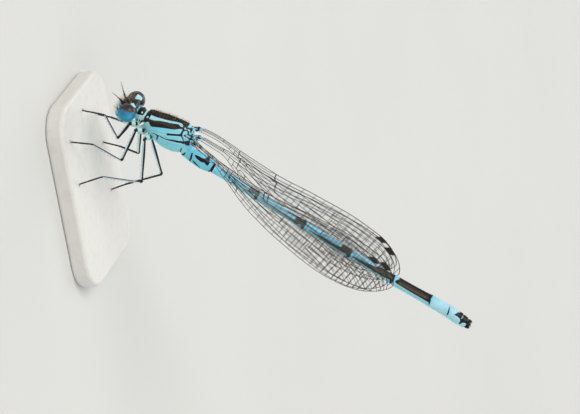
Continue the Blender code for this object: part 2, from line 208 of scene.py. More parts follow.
def add_piece(name, points, faces, material, values=None, smooth=True):
    """A mesh object from stance points in millimetres, with named values at its points."""
    mesh = bpy.data.meshes.new(name)
    mesh.from_pydata((np.asarray(points) * MM).tolist(), [], faces)
    for key, rest in {**PLAIN_VALUES, **(values or {})}.items():
        layer = mesh.attributes.new(key, "FLOAT", "POINT")
        layer.data.foreach_set("value", np.broadcast_to(rest, len(points)).astype(np.float32))
    bm = bmesh.new()
    bm.from_mesh(mesh)
    bmesh.ops.recalc_face_normals(bm, faces=bm.faces)
    bm.to_mesh(mesh)
    bm.free()
    if smooth:
        mesh.shade_smooth()
    mesh.materials.append(material)
    piece = bpy.data.objects.new(name, mesh)
    bpy.context.scene.collection.objects.link(piece)
    return piece


def settle(piece, slot, *nodes):
    """Tie a finished piece to the body and hide the solids it stands for. The slot is not used."""
    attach(piece, "root")
    if nodes:
        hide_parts(*nodes)
    return piece


def close_tube(rings):
    """Points and faces of a row of rings, drawn to a point in the middle of both ends."""
    count, sides = rings.shape[:2]
    row, turn = np.meshgrid(np.arange(count - 1), np.arange(sides), indexing="ij")
    here, beside = row * sides + turn, row * sides + (turn + 1) % sides
    quads = np.stack((here, beside, beside + sides, here + sides), -1).reshape(-1, 4)
    points = np.vstack((rings.reshape(-1, 3), rings[0].mean(0), rings[-1].mean(0)))
    faces = quads.tolist()
    last = (count - 1) * sides
    for i in range(sides):
        j = (i + 1) % sides
        faces.append([j, i, count * sides])
        faces.append([last + i, last + j, count * sides + 1])
    return points, faces


def end_values(values, sides):
    """Values of a tube's rings, followed by those of its two closing points."""
    flat = values.reshape(-1)
    return np.concatenate((flat, flat[:1], flat[-sides:-sides + 1]))


def join_shells(shells):
    """One list of points and faces from many, and how many points each one has."""
    points, faces, sizes = [], [], []
    for shell_points, shell_faces in shells:
        start = sum(sizes)
        faces.extend([start + i for i in face] for face in shell_faces)
        points.append(shell_points)
        sizes.append(len(shell_points))
    return np.vstack(points), faces, sizes


def travel_frames(path):
    """Direction of travel along a path, and a side direction that twists as little as it can."""
    path = np.asarray(path, float)
    steps = np.diff(path, axis=0)
    steps /= np.linalg.norm(steps, axis=1)[:, None]
    travel = np.vstack((steps[:1], steps[1:] + steps[:-1], steps[-1:]))
    travel /= np.linalg.norm(travel, axis=1)[:, None]
    side = np.cross(travel[0], (0.31, 0.2, 0.93))
    sides = []
    for direction in travel:
        side = side - direction * (side @ direction)
        side /= np.linalg.norm(side)
        sides.append(side.copy())
    return travel, np.array(sides)


def tube_rings(path, radii, sides):
    """Rings of a round tube along a path, and the outward direction of each of their points."""
    path = np.asarray(path, float)
    travel, side = travel_frames(path)
    over = np.cross(travel, side)
    turns = 2 * math.pi * np.arange(sides) / sides
    spokes = (
        side[:, None] * np.cos(turns)[None, :, None] + over[:, None] * np.sin(turns)[None, :, None]
    )
    return path[:, None] + spokes * np.asarray(radii, float)[:, None, None], spokes


# Shader groups

def new_group(name, kind, inputs, outputs):
    """An empty node group with named sockets."""
    tree = bpy.data.node_groups.new(name, kind)
    for label, socket, rest in inputs:
        made = tree.interface.new_socket(label, in_out="INPUT", socket_type=socket)
        if rest is not None:
            made.default_value = rest
    for label, socket in outputs:
        tree.interface.new_socket(label, in_out="OUTPUT", socket_type=socket)
    return tree, tree.nodes.new("NodeGroupInput"), tree.nodes.new("NodeGroupOutput")


def put(tree, kind, settings=None, **sockets):
    """Add a node, set its properties, and set or link its sockets by name or number."""
    node = tree.nodes.new(kind)
    for key, value in (settings or {}).items():
        setattr(node, key, value)
    for key, value in sockets.items():
        label = key.replace("_", " ")
        socket = node.inputs[int(label[1:])] if label[0] == "n" and label[1:].isdigit() else node.inputs[label]
        if isinstance(value, bpy.types.NodeSocket):
            tree.links.new(value, socket)
        else:
            socket.default_value = value
    return node


def calc(tree, operation, first, second=0.0, clamp=False):
    """The result of one Math node."""
    node = put(tree, "ShaderNodeMath", {"operation": operation, "use_clamp": clamp}, n0=first, n1=second)
    return node.outputs[0]


def blend(tree, share, first, second):
    """A colour between two others."""
    node = put(tree, "ShaderNodeMix", {"data_type": "RGBA"}, n0=share, n6=first, n7=second)
    return node.outputs[2]


def build_marking_group():
    """Turns a distance in millimetres into a mask with a slightly ragged edge."""
    tree, start, end = new_group(
        "marking_edge", "ShaderNodeTree",
        [("Distance", "NodeSocketFloat", 1.0), ("Ragged", "NodeSocketFloat", 0.02),
         ("Softness", "NodeSocketFloat", 0.02), ("Grain Size", "NodeSocketFloat", 9000.0)],
        [("Mask", "NodeSocketFloat")],
    )
    place = put(tree, "ShaderNodeTexCoord").outputs["Object"]
    noise = put(tree, "ShaderNodeTexNoise", Vector=place, Scale=start.outputs["Grain Size"], Detail=2.0)
    wander = calc(tree, "SUBTRACT", noise.outputs["Fac"], 0.5)
    edge = calc(tree, "ADD", start.outputs["Distance"],
                calc(tree, "MULTIPLY", wander, start.outputs["Ragged"]))
    mask = calc(tree, "SUBTRACT", 0.5, calc(tree, "DIVIDE", edge, start.outputs["Softness"]), clamp=True)
    tree.links.new(mask, end.inputs["Mask"])
    return tree


def build_grain_group():
    """Fine mottling and pores of insect cuticle, at a size given in cells per metre."""
    tree, start, end = new_group(
        "cuticle_grain", "ShaderNodeTree",
        [("Mottle Size", "NodeSocketFloat", 2500.0), ("Pore Size", "NodeSocketFloat", 16000.0)],
        [("Mottle", "NodeSocketFloat"), ("Height", "NodeSocketFloat"), ("Gloss", "NodeSocketFloat")],
    )
    place = put(tree, "ShaderNodeTexCoord").outputs["Object"]
    mottle = put(tree, "ShaderNodeTexNoise", Vector=place, Scale=start.outputs["Mottle Size"], Detail=4.0)
    pores = put(tree, "ShaderNodeTexVoronoi", Vector=place, Scale=start.outputs["Pore Size"])
    fine = put(tree, "ShaderNodeTexNoise", Vector=place, Scale=start.outputs["Pore Size"], Detail=3.0)
    height = calc(tree, "ADD", calc(tree, "MULTIPLY", pores.outputs["Distance"], 0.5), fine.outputs["Fac"])
    gloss = calc(tree, "ADD", calc(tree, "MULTIPLY", fine.outputs["Fac"], 0.22), 0.3)
    tree.links.new(mottle.outputs["Fac"], end.inputs["Mottle"])
    tree.links.new(height, end.inputs["Height"])
    tree.links.new(gloss, end.inputs["Gloss"])
    return tree


MARKING_EDGE = build_marking_group()
CUTICLE_GRAIN = build_grain_group()


def add_group(tree, group, **sockets):
    return put(tree, "ShaderNodeGroup", {"node_tree": group}, **sockets)


def value_of(tree, name):
    """A named value of the mesh."""
    return put(tree, "ShaderNodeAttribute", {"attribute_name": name}).outputs["Fac"]


def new_material(name):
    material = bpy.data.materials.new(name)
    material.use_nodes = True
    tree = material.node_tree
    return material, tree, tree.nodes["Principled BSDF"]


def bump(tree, shader, height, distance):
    """Small relief, its depth given in millimetres."""
    node = put(tree, "ShaderNodeBump", Strength=1.0, Distance=distance * MM, Height=height)
    tree.links.new(node.outputs["Normal"], shader.inputs["Normal"])


def make_cuticle(name, high, low, light=PALE_BLUE, ragged=0.03, coat=0.06):
    """Skin of the body: blue grading to cyan, pale, mint and tan places, and black markings. The pale value also
    carries painted light that lightens the abdomen behind the wings.
    """
    material, tree, shader = new_material(name)
    grain = add_group(tree, CUTICLE_GRAIN)
    colour = blend(tree, value_of(tree, "back"), paint(low), paint(high))
    colour = blend(tree, value_of(tree, "mint"), colour, paint(MINT))
    # The pale value holds pale markings, and also painted light on the abdomen behind the wings.
    colour = blend(tree, value_of(tree, "pale"), colour, paint(light))
    colour = blend(tree, value_of(tree, "tan"), colour, paint(TAN))
    shade = calc(tree, "MULTIPLY", calc(tree, "SUBTRACT", grain.outputs["Mottle"], 0.42), 1.1, clamp=True)
    deeper = put(tree, "ShaderNodeMix", {"data_type": "RGBA", "blend_type": "MULTIPLY"},
                 n0=shade, n6=colour, n7=paint((176, 205, 214))).outputs[2]
    speck = calc(tree, "MULTIPLY", calc(tree, "SUBTRACT", grain.outputs["Mottle"], 0.55), 1.1, clamp=True)
    ink = blend(tree, speck, paint(BLACK), paint(BRONZE))
    ink = blend(tree, value_of(tree, "warm"), ink, paint(STREAK))
    mask = add_group(tree, MARKING_EDGE, Distance=value_of(tree, "dark"), Ragged=ragged).outputs["Mask"]
    tree.links.new(blend(tree, mask, deeper, ink), shader.inputs["Base Color"])
    tree.links.new(grain.outputs["Gloss"], shader.inputs["Roughness"])
    shader.inputs["Coat Weight"].default_value = coat
    shader.inputs["Coat Roughness"].default_value = 0.3
    shader.inputs["Specular IOR Level"].default_value = 0.28
    bump(tree, shader, grain.outputs["Height"], 0.006)
    return material


def make_eye_material():
    """Glossy eye: dark brown cap, rusty rim, teal below that deepens under the rim, and a painted pale highlight
    along the top of the inner edge.
    """
    material, tree, shader = new_material("eye_facets")
    grain = add_group(tree, CUTICLE_GRAIN, Mottle_Size=1800.0)
    cap = value_of(tree, "cap")
    near_rim = put(tree, "ShaderNodeMapRange", Value=cap, From_Min=0.0, From_Max=0.5).outputs[0]
    lower = blend(tree, near_rim, paint(EYE_DEEP), paint(EYE_TEAL))
    mottle = calc(tree, "MULTIPLY", calc(tree, "SUBTRACT", grain.outputs["Mottle"], 0.42), 3.0, clamp=True)
    lower = blend(tree, calc(tree, "MULTIPLY", mottle, 0.55), lower, paint((76, 182, 202)))
    in_cap = put(tree, "ShaderNodeMapRange", Value=cap, From_Min=-0.22, From_Max=0.0).outputs[0]
    rust = calc(tree, "MULTIPLY", in_cap, mottle)
    upper = blend(tree, rust, paint(EYE_CAP), paint(EYE_RUST))
    # The rim value paints a pale highlight along the top of the eye's inner edge, and black further round on its
    # inner side.
    rim = value_of(tree, "rim")
    upper = blend(tree, rim, upper, paint(EYE_RIM_HIGHLIGHT))
    upper = blend(tree, calc(tree, "MULTIPLY", rim, -1.0, clamp=True), upper, paint(BLACK))
    mask = add_group(tree, MARKING_EDGE, Distance=cap, Ragged=0.16, Softness=0.07, Grain_Size=4200.0)
    tree.links.new(blend(tree, mask.outputs["Mask"], lower, upper), shader.inputs["Base Color"])
    roughness = calc(tree, "ADD", calc(tree, "MULTIPLY", grain.outputs["Mottle"], 0.2), 0.28)
    tree.links.new(roughness, shader.inputs["Roughness"])
    shader.inputs["Coat Weight"].default_value = 0.2
    shader.inputs["Coat Roughness"].default_value = 0.18
    shader.inputs["Specular IOR Level"].default_value = 0.3
    return material


def make_membrane_material():
    """Clear wing skin with a faint smoky tint that varies from cell to cell, and painted sheen: whiter, less clear
    streaks where the pale value is high.
    """
    material, tree, shader = new_material("wing_membrane")
    place = put(tree, "ShaderNodeTexCoord").outputs["Object"]
    cells = put(tree, "ShaderNodeTexNoise", Vector=place, Scale=900.0, Detail=3.0)
    tint = blend(tree, cells.outputs["Fac"], paint(MEMBRANE), paint((140, 148, 132)))
    # Painted sheen: the pale value lightens the tint towards milky white and makes the skin less clear.
    tint = blend(tree, value_of(tree, "pale"), tint, paint((206, 214, 218)))
    tree.links.new(tint, shader.inputs["Base Color"])
    alpha = calc(tree, "ADD", calc(tree, "MULTIPLY", cells.outputs["Fac"], 0.1), 0.035)
    alpha = calc(tree, "ADD", alpha, calc(tree, "MULTIPLY", value_of(tree, "pale"), 0.16))
    tree.links.new(alpha, shader.inputs["Alpha"])
    ripple = put(tree, "ShaderNodeTexNoise", Vector=place, Scale=2600.0, Detail=2.0)
    bump(tree, shader, ripple.outputs["Fac"], 0.01)
    shader.inputs["Roughness"].default_value = 0.18
    shader.inputs["IOR"].default_value = 1.56
    return material


def make_plain_dark(name, colour, light, roughness=0.35, size=5000.0):
    """A dark horny finish with lighter specks."""
    material, tree, shader = new_material(name)
    grain = add_group(tree, CUTICLE_GRAIN, Mottle_Size=size)
    share = calc(tree, "MULTIPLY", calc(tree, "SUBTRACT", grain.outputs["Mottle"], 0.45), 1.4, clamp=True)
    tree.links.new(blend(tree, share, paint(colour), paint(light)), shader.inputs["Base Color"])
    rough = calc(tree, "ADD", calc(tree, "MULTIPLY", grain.outputs["Mottle"], 0.2), roughness - 0.1)
    tree.links.new(rough, shader.inputs["Roughness"])
    shader.inputs["Specular IOR Level"].default_value = 0.28
    bump(tree, shader, grain.outputs["Height"], 0.003)
    return material


def make_base_material():
    """Satin off-white lacquer with a faint speckle."""
    material, tree, shader = new_material("base_lacquer")
    place = put(tree, "ShaderNodeTexCoord").outputs["Object"]
    speck = put(tree, "ShaderNodeTexNoise", Vector=place, Scale=1400.0, Detail=5.0)
    cloud = put(tree, "ShaderNodeTexNoise", Vector=place, Scale=180.0, Detail=2.0)
    share = calc(tree, "MULTIPLY", calc(tree, "SUBTRACT", speck.outputs["Fac"], 0.5), 1.5, clamp=True)
    colour = blend(tree, share, paint((226, 224, 218)), paint((206, 203, 196)))
    colour = blend(tree, calc(tree, "MULTIPLY", cloud.outputs["Fac"], 0.25), colour, paint((216, 212, 203)))
    tree.links.new(colour, shader.inputs["Base Color"])
    rough = calc(tree, "ADD", calc(tree, "MULTIPLY", speck.outputs["Fac"], 0.2), 0.38)
    tree.links.new(rough, shader.inputs["Roughness"])
    bump(tree, shader, speck.outputs["Fac"], 0.004)
    return material


# Geometry Nodes

def build_strand_tree():
    """Round strands along every chain of edges, as thick as the value named girth says."""
    tree, start, end = new_group(
        "strands", "GeometryNodeTree",
        [("Geometry", "NodeSocketGeometry", None), ("Thickness", "NodeSocketFloat", 1.0),
         ("Sides", "NodeSocketInt", 6), ("Material", "NodeSocketMaterial", None)],
        [("Geometry", "NodeSocketGeometry")],
    )
    curve = put(tree, "GeometryNodeMeshToCurve", Mesh=start.outputs["Geometry"]).outputs[0]
    profile = put(tree, "GeometryNodeCurvePrimitiveCircle", Resolution=start.outputs["Sides"], Radius=1.0)
    girth = put(tree, "GeometryNodeInputNamedAttribute", {"data_type": "FLOAT"}, Name="girth")
    scale = calc(tree, "MULTIPLY", girth.outputs["Attribute"], start.outputs["Thickness"])
    strand = put(tree, "GeometryNodeCurveToMesh", Curve=curve, Profile_Curve=profile.outputs["Curve"],
                 Scale=scale, Fill_Caps=True).outputs[0]
    smooth = put(tree, "GeometryNodeSetShadeSmooth", Geometry=strand).outputs[0]
    real = put(tree, "GeometryNodeRealizeInstances", Geometry=smooth).outputs[0]
    done = put(tree, "GeometryNodeSetMaterial", Geometry=real, Material=start.outputs["Material"])
    tree.links.new(done.outputs[0], end.inputs["Geometry"])
    return tree


def build_bristle_tree():
    """A tapered bristle on every point, along the value named lie and as long as it."""
    tree, start, end = new_group(
        "bristles", "GeometryNodeTree",
        [("Geometry", "NodeSocketGeometry", None), ("Root Radius", "NodeSocketFloat", 0.00001),
         ("Sides", "NodeSocketInt", 4), ("Seed", "NodeSocketInt", 3),
         ("Material", "NodeSocketMaterial", None)],
        [("Geometry", "NodeSocketGeometry")],
    )
    spike = put(tree, "GeometryNodeMeshCone", {"fill_type": "NGON"}, Vertices=start.outputs["Sides"],
                Side_Segments=2, Radius_Top=0.0, Radius_Bottom=1.0, Depth=1.0)
    lie = put(tree, "GeometryNodeInputNamedAttribute", {"data_type": "FLOAT_VECTOR"}, Name="lie")
    turn = put(tree, "FunctionNodeAlignRotationToVector", {"axis": "Z"}, Vector=lie.outputs["Attribute"])
    length = put(tree, "ShaderNodeVectorMath", {"operation": "LENGTH"}, n0=lie.outputs["Attribute"])
    vary = put(tree, "FunctionNodeRandomValue", {"data_type": "FLOAT"}, n2=0.75, n3=1.2,
               Seed=start.outputs["Seed"])
    width = calc(tree, "MULTIPLY", start.outputs["Root Radius"], vary.outputs[1])
    size = put(tree, "ShaderNodeCombineXYZ", X=width, Y=width, Z=length.outputs["Value"])
    grown = put(tree, "GeometryNodeInstanceOnPoints", Points=start.outputs["Geometry"],
                Instance=spike.outputs["Mesh"], Rotation=turn.outputs["Rotation"],
                Scale=size.outputs["Vector"])
    real = put(tree, "GeometryNodeRealizeInstances", Geometry=grown.outputs[0]).outputs[0]
    smooth = put(tree, "GeometryNodeSetShadeSmooth", Geometry=real).outputs[0]
    done = put(tree, "GeometryNodeSetMaterial", Geometry=smooth, Material=start.outputs["Material"])
    tree.links.new(done.outputs[0], end.inputs["Geometry"])
    return tree


STRANDS = build_strand_tree()
BRISTLES = build_bristle_tree()


def run_nodes(host, tree, **inputs):
    """Run a tree on the host with the given inputs, and keep the result as its plain mesh."""
    modifier = host.modifiers.new(tree.name, "NODES")
    modifier.node_group = tree
    for item in tree.interface.items_tree:
        label = item.name.replace(" ", "_")
        if item.item_type == "SOCKET" and item.in_out == "INPUT" and label in inputs:
            modifier[item.identifier] = inputs[label]
    host.update_tag()
    graph = bpy.context.evaluated_depsgraph_get()
    mesh = bpy.data.meshes.new_from_object(host.evaluated_get(graph))
    host.modifiers.clear()
    host.data = mesh
    return host


def grow_strands(name, chains, material, sides=6):
    """Strands along chains of stance points. Each chain is its points and their radii."""
    points, edges, girths = [], [], []
    for path, radii in chains:
        first = len(points)
        points.extend((np.asarray(path) * MM).tolist())
        girths.extend(float(r) * MM for r in radii)
        edges.extend((i, i + 1) for i in range(first, len(points) - 1))
    mesh = bpy.data.meshes.new(name)
    mesh.from_pydata(points, edges, [])
    mesh.attributes.new("girth", "FLOAT", "POINT").data.foreach_set("value", girths)
    host = bpy.data.objects.new(name, mesh)
    bpy.context.scene.collection.objects.link(host)
    return run_nodes(host, STRANDS, Thickness=1.0, Sides=sides, Material=material)


BRISTLE_PATCH = 0.003


def grow_bristles(name, roots, lies, places, radius, material, seed):
    """Bristles at stance roots. places are where the roots lie on an unwrap of the skin."""
    mesh = bpy.data.meshes.new(name)
    mesh.from_pydata((np.asarray(roots) * MM).tolist(), [], [])
    lie = mesh.attributes.new("lie", "FLOAT_VECTOR", "POINT")
    lie.data.foreach_set("vector", (np.asarray(lies) * MM).astype(np.float32).ravel())
    flat = np.column_stack((places, np.zeros(len(places))))
    place = mesh.attributes.new("root_place", "FLOAT_VECTOR", "POINT")
    place.data.foreach_set("vector", flat.astype(np.float32).ravel())
    host = bpy.data.objects.new(name, mesh)
    bpy.context.scene.collection.objects.link(host)
    run_nodes(host, BRISTLES, Root_Radius=radius * MM, Sides=4, Seed=seed, Material=material)
    lay_out_bristles(host.data)
    return host


def lay_out_bristles(mesh):
    """Give each bristle a small patch of the map at its root's place on the skin."""
    place = np.empty(len(mesh.vertices) * 3, np.float32)
    mesh.attributes["root_place"].data.foreach_get("vector", place)
    corner = np.empty(len(mesh.loops), np.int32)
    mesh.loops.foreach_get("vertex_index", corner)
    turn = corner * 2.4
    offset = np.column_stack((np.cos(turn), np.sin(turn))) * BRISTLE_PATCH / 2
    layer = mesh.uv_layers.new(name="OFBake")
    layer.data.foreach_set("uv", (place.reshape(-1, 3)[corner, :2] + offset).astype(np.float32).ravel())
    mesh.attributes.remove(mesh.attributes["root_place"])


# Body

SKIN_SIDES = 144
CHEST_STEP = 0.04
SKIN_STEP = 0.085
JOINT_STEP = 0.03
JOINT_REACH = 0.18

MID_BACK = -0.6
BACK_BAND = (
    (-5.26, MID_BACK), (-5.26, 0.42), (-5.0, 0.54), (-4.85, 0.57), (-4.5, 0.6), (-4.25, 0.61),
    (-3.75, 0.6), (-3.5, 0.575), (-3.25, 0.53), (-3.0, 0.475), (-2.75, 0.42), (-2.5, 0.375),
    (-2.35, 0.37), (-2.25, 0.42), (-2.15, 0.52), (-2.1, 0.62), (-1.92, 0.6), (-1.84, 0.46),
    (-1.8, 0.3), (-1.78, MID_BACK),
)
SHOULDER_BAND = (
    (-5.26, 0.4), (-5.0, 0.48), (-4.87, 0.5), (-4.86, 0.91), (-4.8, 0.93), (-4.6, 0.95), (-4.4, 0.93),
    (-4.2, 0.88), (-4.0, 0.84), (-3.75, 0.8), (-3.5, 0.77), (-3.25, 0.74), (-3.0, 0.69),
    (-2.75, 0.61), (-2.6, 0.56), (-2.5, 0.56), (-2.4, 0.62), (-2.3, 0.66), (-2.18, 0.64),
    (-2.12, 0.45), (-1.95, 0.45), (-1.82, 0.56), (-1.86, 0.68), (-2.0, 0.72), (-2.1, 0.78),
    (-2.2, 0.82), (-2.3, 0.88), (-2.45, 1.0), (-2.6, 1.1), (-2.75, 1.15), (-3.0, 1.22),
    (-3.25, 1.28), (-3.5, 1.33), (-3.7, 1.38), (-3.9, 1.42), (-4.1, 1.47), (-4.3, 1.5),
    (-4.45, 1.47), (-4.55, 1.4), (-4.65, 1.3), (-4.72, 1.2), (-4.85, 1.2), (-4.97, 1.3),
    (-5.1, 1.15), (-5.2, 0.95), (-5.26, 0.7),
)
NECK_SHIELD = (
    (-6.0, MID_BACK), (-6.0, 0.6), (-5.95, 0.7), (-5.8, 0.76), (-5.6, 0.74), (-5.45, 0.68),
    (-5.42, 0.5), (-5.42, MID_BACK),
)
# Dark patches on the abdomen, from its second segment to its tenth.
SADDLES = (
    ((-0.14, 0.48), (0.1, 0.47), (0.4, 0.47), (0.62, 0.45), (0.76, 0.36), (0.8, 0.2), (0.82, MID_BACK),
     (1.05, MID_BACK), (1.08, 0.2), (1.24, 0.38), (1.24, 0.64), (1.18, 0.74), (1.0, 0.74),
     (0.85, 0.7), (0.7, 0.78), (0.5, 0.8), (0.3, 0.77), (0.1, 0.72), (-0.08, 0.62)),
    ((5.1, MID_BACK), (5.08, 0.2), (5.1, 0.45), (5.2, 0.52), (5.45, 0.52), (5.6, 0.46), (5.7, 0.38),
     (5.76, 0.5), (5.8, 0.7), (5.83, 0.94), (6.08, 0.94), (6.08, 0.6), (6.05, 0.4), (6.03, MID_BACK)),
    ((9.55, MID_BACK), (9.6, 0.2), (9.6, 0.38), (9.5, 0.44), (8.0, 0.43), (7.2, 0.48), (7.2, 0.51),
     (8.2, 0.56), (9.3, 0.6), (9.7, 0.62), (10.0, 0.62), (10.2, 0.52), (10.26, 0.45), (10.3, 0.6),
     (10.35, 0.94), (10.61, 0.94), (10.61, 0.5), (10.56, MID_BACK)),
    ((14.0, MID_BACK), (14.02, 0.25), (13.9, 0.36), (13.4, 0.37), (12.6, 0.4), (11.9, 0.45),
     (11.0, 0.5), (11.0, 0.54), (12.0, 0.6), (13.2, 0.64), (14.0, 0.65), (14.4, 0.65),
     (14.62, 0.56), (14.7, 0.62), (14.74, 0.8), (14.77, 1.0), (15.02, 1.0), (15.04, 0.6),
     (14.98, 0.3), (14.97, MID_BACK)),
    ((17.3, MID_BACK), (17.42, 0.1), (17.38, 0.22), (16.9, 0.26), (16.4, 0.34), (15.8, 0.4),
     (15.2, 0.45), (15.2, 0.51), (15.7, 0.6), (16.8, 0.64), (18.3, 0.65), (18.75, 0.58),
     (18.84, 0.64), (18.88, 0.92), (19.12, 0.92), (19.13, 0.5), (18.95, MID_BACK)),
    ((19.47, MID_BACK), (19.45, 0.2), (19.3, 0.37), (19.25, 0.5), (19.35, 0.58), (19.5, 0.6),
     (20.5, 0.65), (21.5, 0.67), (22.2, 0.7), (22.4, 0.72), (22.52, 0.7), (22.52, MID_BACK)),
    ((25.1, MID_BACK), (25.12, 0.1), (24.95, 0.2), (24.9, 0.4), (24.78, 0.5), (24.85, 0.56),
     (25.1, 0.52), (25.35, 0.55), (25.5, 0.65), (25.52, 0.95), (25.62, 0.95), (25.72, 0.7),
     (25.85, 0.6), (26.0, 0.5), (26.1, 0.4), (26.1, MID_BACK)),
)
# Lines on the unrolled skin as rows of along, round and half width.
BLACK_AND_SHADE_LINES = (
    # The first line is painted shade: black in the gap between the prothorax and the thorax.
    ((-5.12, 0.95, 0.07), (-5.3, 1.1, 0.07), (-5.33, 1.5, 0.05), (-5.35, 2.1, 0.05)),
    ((-5.74, 1.16, 0.03), (-5.66, 1.26, 0.055), (-5.62, 1.45, 0.05)),
    ((-5.5, 1.02, 0.025), (-5.46, 1.32, 0.035)),
    ((-5.58, 1.8, 0.03), (-5.5, 2.1, 0.05)),
    ((-4.95, 1.7, 0.025), (-4.9, 1.95, 0.03), (-4.7, 2.05, 0.03)),
    ((-2.88, 1.68, 0.105), (-2.75, 1.64, 0.085), (-2.5, 1.55, 0.085), (-2.2, 1.42, 0.085), (-1.95, 1.3, 0.09)),
    ((-2.0, 0.75, 0.07), (-1.97, 0.9, 0.07), (-1.95, 1.1, 0.085), (-1.9, 1.25, 0.085),
     (-1.75, 1.38, 0.055), (-1.6, 1.45, 0.055), (-1.48, 1.55, 0.06)),
    ((-1.9, 0.86, 0.04), (-1.84, 0.74, 0.05), (-1.7, 0.66, 0.055), (-1.56, 0.68, 0.08),
     (-1.47, 0.82, 0.1), (-1.5, 0.98, 0.08), (-1.62, 1.08, 0.055)),
    ((-1.68, 1.16, 0.06), (-1.5, 1.05, 0.09), (-1.3, 0.8, 0.1)),
    ((-4.1, 2.1, 0.03), (-3.9, 2.05, 0.05), (-3.7, 2.08, 0.06), (-3.55, 2.15, 0.06),
     (-3.5, 2.35, 0.055), (-3.45, 2.6, 0.05)),
    ((-3.5, 2.1, 0.035), (-3.2, 2.15, 0.04), (-2.9, 2.17, 0.04), (-2.6, 2.12, 0.05),
     (-2.4, 2.05, 0.07), (-2.15, 1.97, 0.08), (-1.9, 1.9, 0.095), (-1.7, 1.8, 0.085),
     (-1.5, 1.68, 0.075), (-1.4, 1.52, 0.06), (-1.3, 1.33, 0.055), (-1.2, 1.1, 0.055), (-1.0, 0.6, 0.06)),
    ((-0.9, 0.95, 0.05), (-0.98, 1.2, 0.05), (-1.08, 1.45, 0.045), (-1.2, 1.7, 0.05), (-1.28, 1.9, 0.07),
     (-1.3, 2.1, 0.08), (-1.33, 2.4, 0.05), (-1.33, 3.2, 0.07)),
    ((-1.78, 0.5, 0.1), (-1.62, 0.42, 0.07), (-1.56, 0.3, 0.05)),
    ((-1.45, 0.05, 0.09), (-1.42, 0.4, 0.1), (-1.38, 0.5, 0.06)),
    ((-1.2, 0.15, 0.05), (-1.16, 0.55, 0.07), (-1.1, 0.8, 0.05)),
    ((-0.98, -0.1, 0.06), (-0.98, 0.3, 0.07)),
    ((-0.4, 0.5, 0.06), (-0.33, 0.75, 0.08), (-0.27, 0.9, 0.08), (-0.27, 1.1, 0.07),
     (-0.3, 1.3, 0.09), (-0.32, 1.6, 0.1)),
    ((-0.02, 1.08, 0.05), (0.16, 1.16, 0.09), (0.4, 1.28, 0.1), (0.62, 1.35, 0.07), (0.74, 1.43, 0.03)),
    ((1.2, 0.37, 0.02), (1.5, 0.3, 0.02)),
    ((1.62, -0.3, 0.1), (1.62, 0.0, 0.1), (1.65, 0.3, 0.12), (1.65, 0.85, 0.12), (1.6, 1.1, 0.13), (1.6, 1.6, 0.13)),
    ((22.5, 0.5, 0.06), (22.6, 0.85, 0.06)),
    ((23.9, 0.56, 0.035), (23.91, 0.58, 0.035)),
    ((23.6, 0.25, 0.025), (23.61, 0.26, 0.025)),
    ((24.18, 0.2, 0.03), (24.23, 0.45, 0.05), (24.3, 0.65, 0.06), (24.33, 0.88, 0.06)),
)
PALE_LINES = (
    ((-5.33, -0.2, 0.045), (-5.33, 0.0, 0.045), (-5.36, 0.6, 0.04), (-5.3, 0.8, 0.03)),
    ((-5.63, 0.5, 0.06), (-5.6, 0.52, 0.06)),
    ((-5.06, 0.78, 0.075), (-5.04, 0.8, 0.075)),
    ((-1.94, 0.61, 0.06), (-1.92, 0.62, 0.06)),
    ((25.5, 0.1, 0.025), (25.5, 0.45, 0.025)),
)
BELLY_LINES = (
    ((0.9, 0.0, 0.03), (1.6, 0.0, 0.05)),
    ((1.9, 0.0, 0.03), (5.9, 0.0, 0.06)),
    ((6.3, 0.0, 0.03), (10.4, 0.0, 0.06)),
    ((10.9, 0.0, 0.03), (14.8, 0.0, 0.06)),
    ((15.2, 0.0, 0.03), (19.0, 0.0, 0.07)),
    ((19.5, 0.0, 0.04), (22.4, 0.0, 0.08)),
)
# Folds pressed into the skin as rows of along, round and half width.
SEAMS = (
    ((-5.1, 0.95, 0.0), (-4.5, 1.25, 0.0), (-3.4, 1.1, 0.0), (-2.3, 0.9, 0.0), (-1.95, 0.8, 0.0)),
    ((-4.5, 1.95, 0.0), (-3.6, 1.8, 0.0), (-2.9, 1.68, 0.0), (-2.2, 1.42, 0.0), (-1.95, 1.2, 0.0)),
    ((-4.1, 2.1, 0.0), (-3.5, 2.12, 0.0), (-2.9, 2.17, 0.0), (-2.4, 2.05, 0.0), (-1.9, 1.9, 0.0),
     (-1.5, 1.68, 0.0), (-1.3, 1.35, 0.0)),
    ((-3.5, 2.15, 0.0), (-3.45, 2.6, 0.0), (-2.9, 2.75, 0.0), (-2.1, 2.72, 0.0), (-1.4, 2.5, 0.0)),
    ((-1.9, 1.25, 0.0), (-1.6, 1.45, 0.0), (-1.3, 1.35, 0.0), (-1.1, 0.9, 0.0)),
)


def skin_stations():
    """Rings of the whole body, each as top along and up, bottom along and up, half width."""
    rows = list(TRUNK_RINGS)
    for index in range(1, len(SEGMENT_ENDS)):
        start, end = np.array(SEGMENT_ENDS[index - 1]), np.array(SEGMENT_ENDS[index])
        for t, share in ((0.0, 0.0), (0.1, 0.45), (0.5, 1.0), (0.9, 0.45)):
            along, up, radius = start + (end - start) * t
            radius += (SEGMENT_WAISTS[index] - radius) * share
            rows.append((along, up + radius, along, up - radius, radius * ABDOMEN_NARROWING))
    along, up, radius = SEGMENT_ENDS[-1]
    rows.append((along, up + radius, along, up - radius, radius * ABDOMEN_NARROWING))
    rows.append((along + 0.08, up + radius * 0.8, along + 0.08, up - radius * 0.8, radius * 0.76))
    return np.array(rows)


def skin_places(first, last):
    """Where the rings of the skin go, closer together at the joints of the abdomen."""
    places = [first]
    joints = [row[0] for row in SEGMENT_ENDS]
    while places[-1] < last:
        near = min(abs(places[-1] - joint) for joint in joints) < JOINT_REACH
        plain = CHEST_STEP if places[-1] < joints[1] + 0.5 else SKIN_STEP
        places.append(places[-1] + (JOINT_STEP if near else plain))
    places[-1] = last
    return np.array(places)


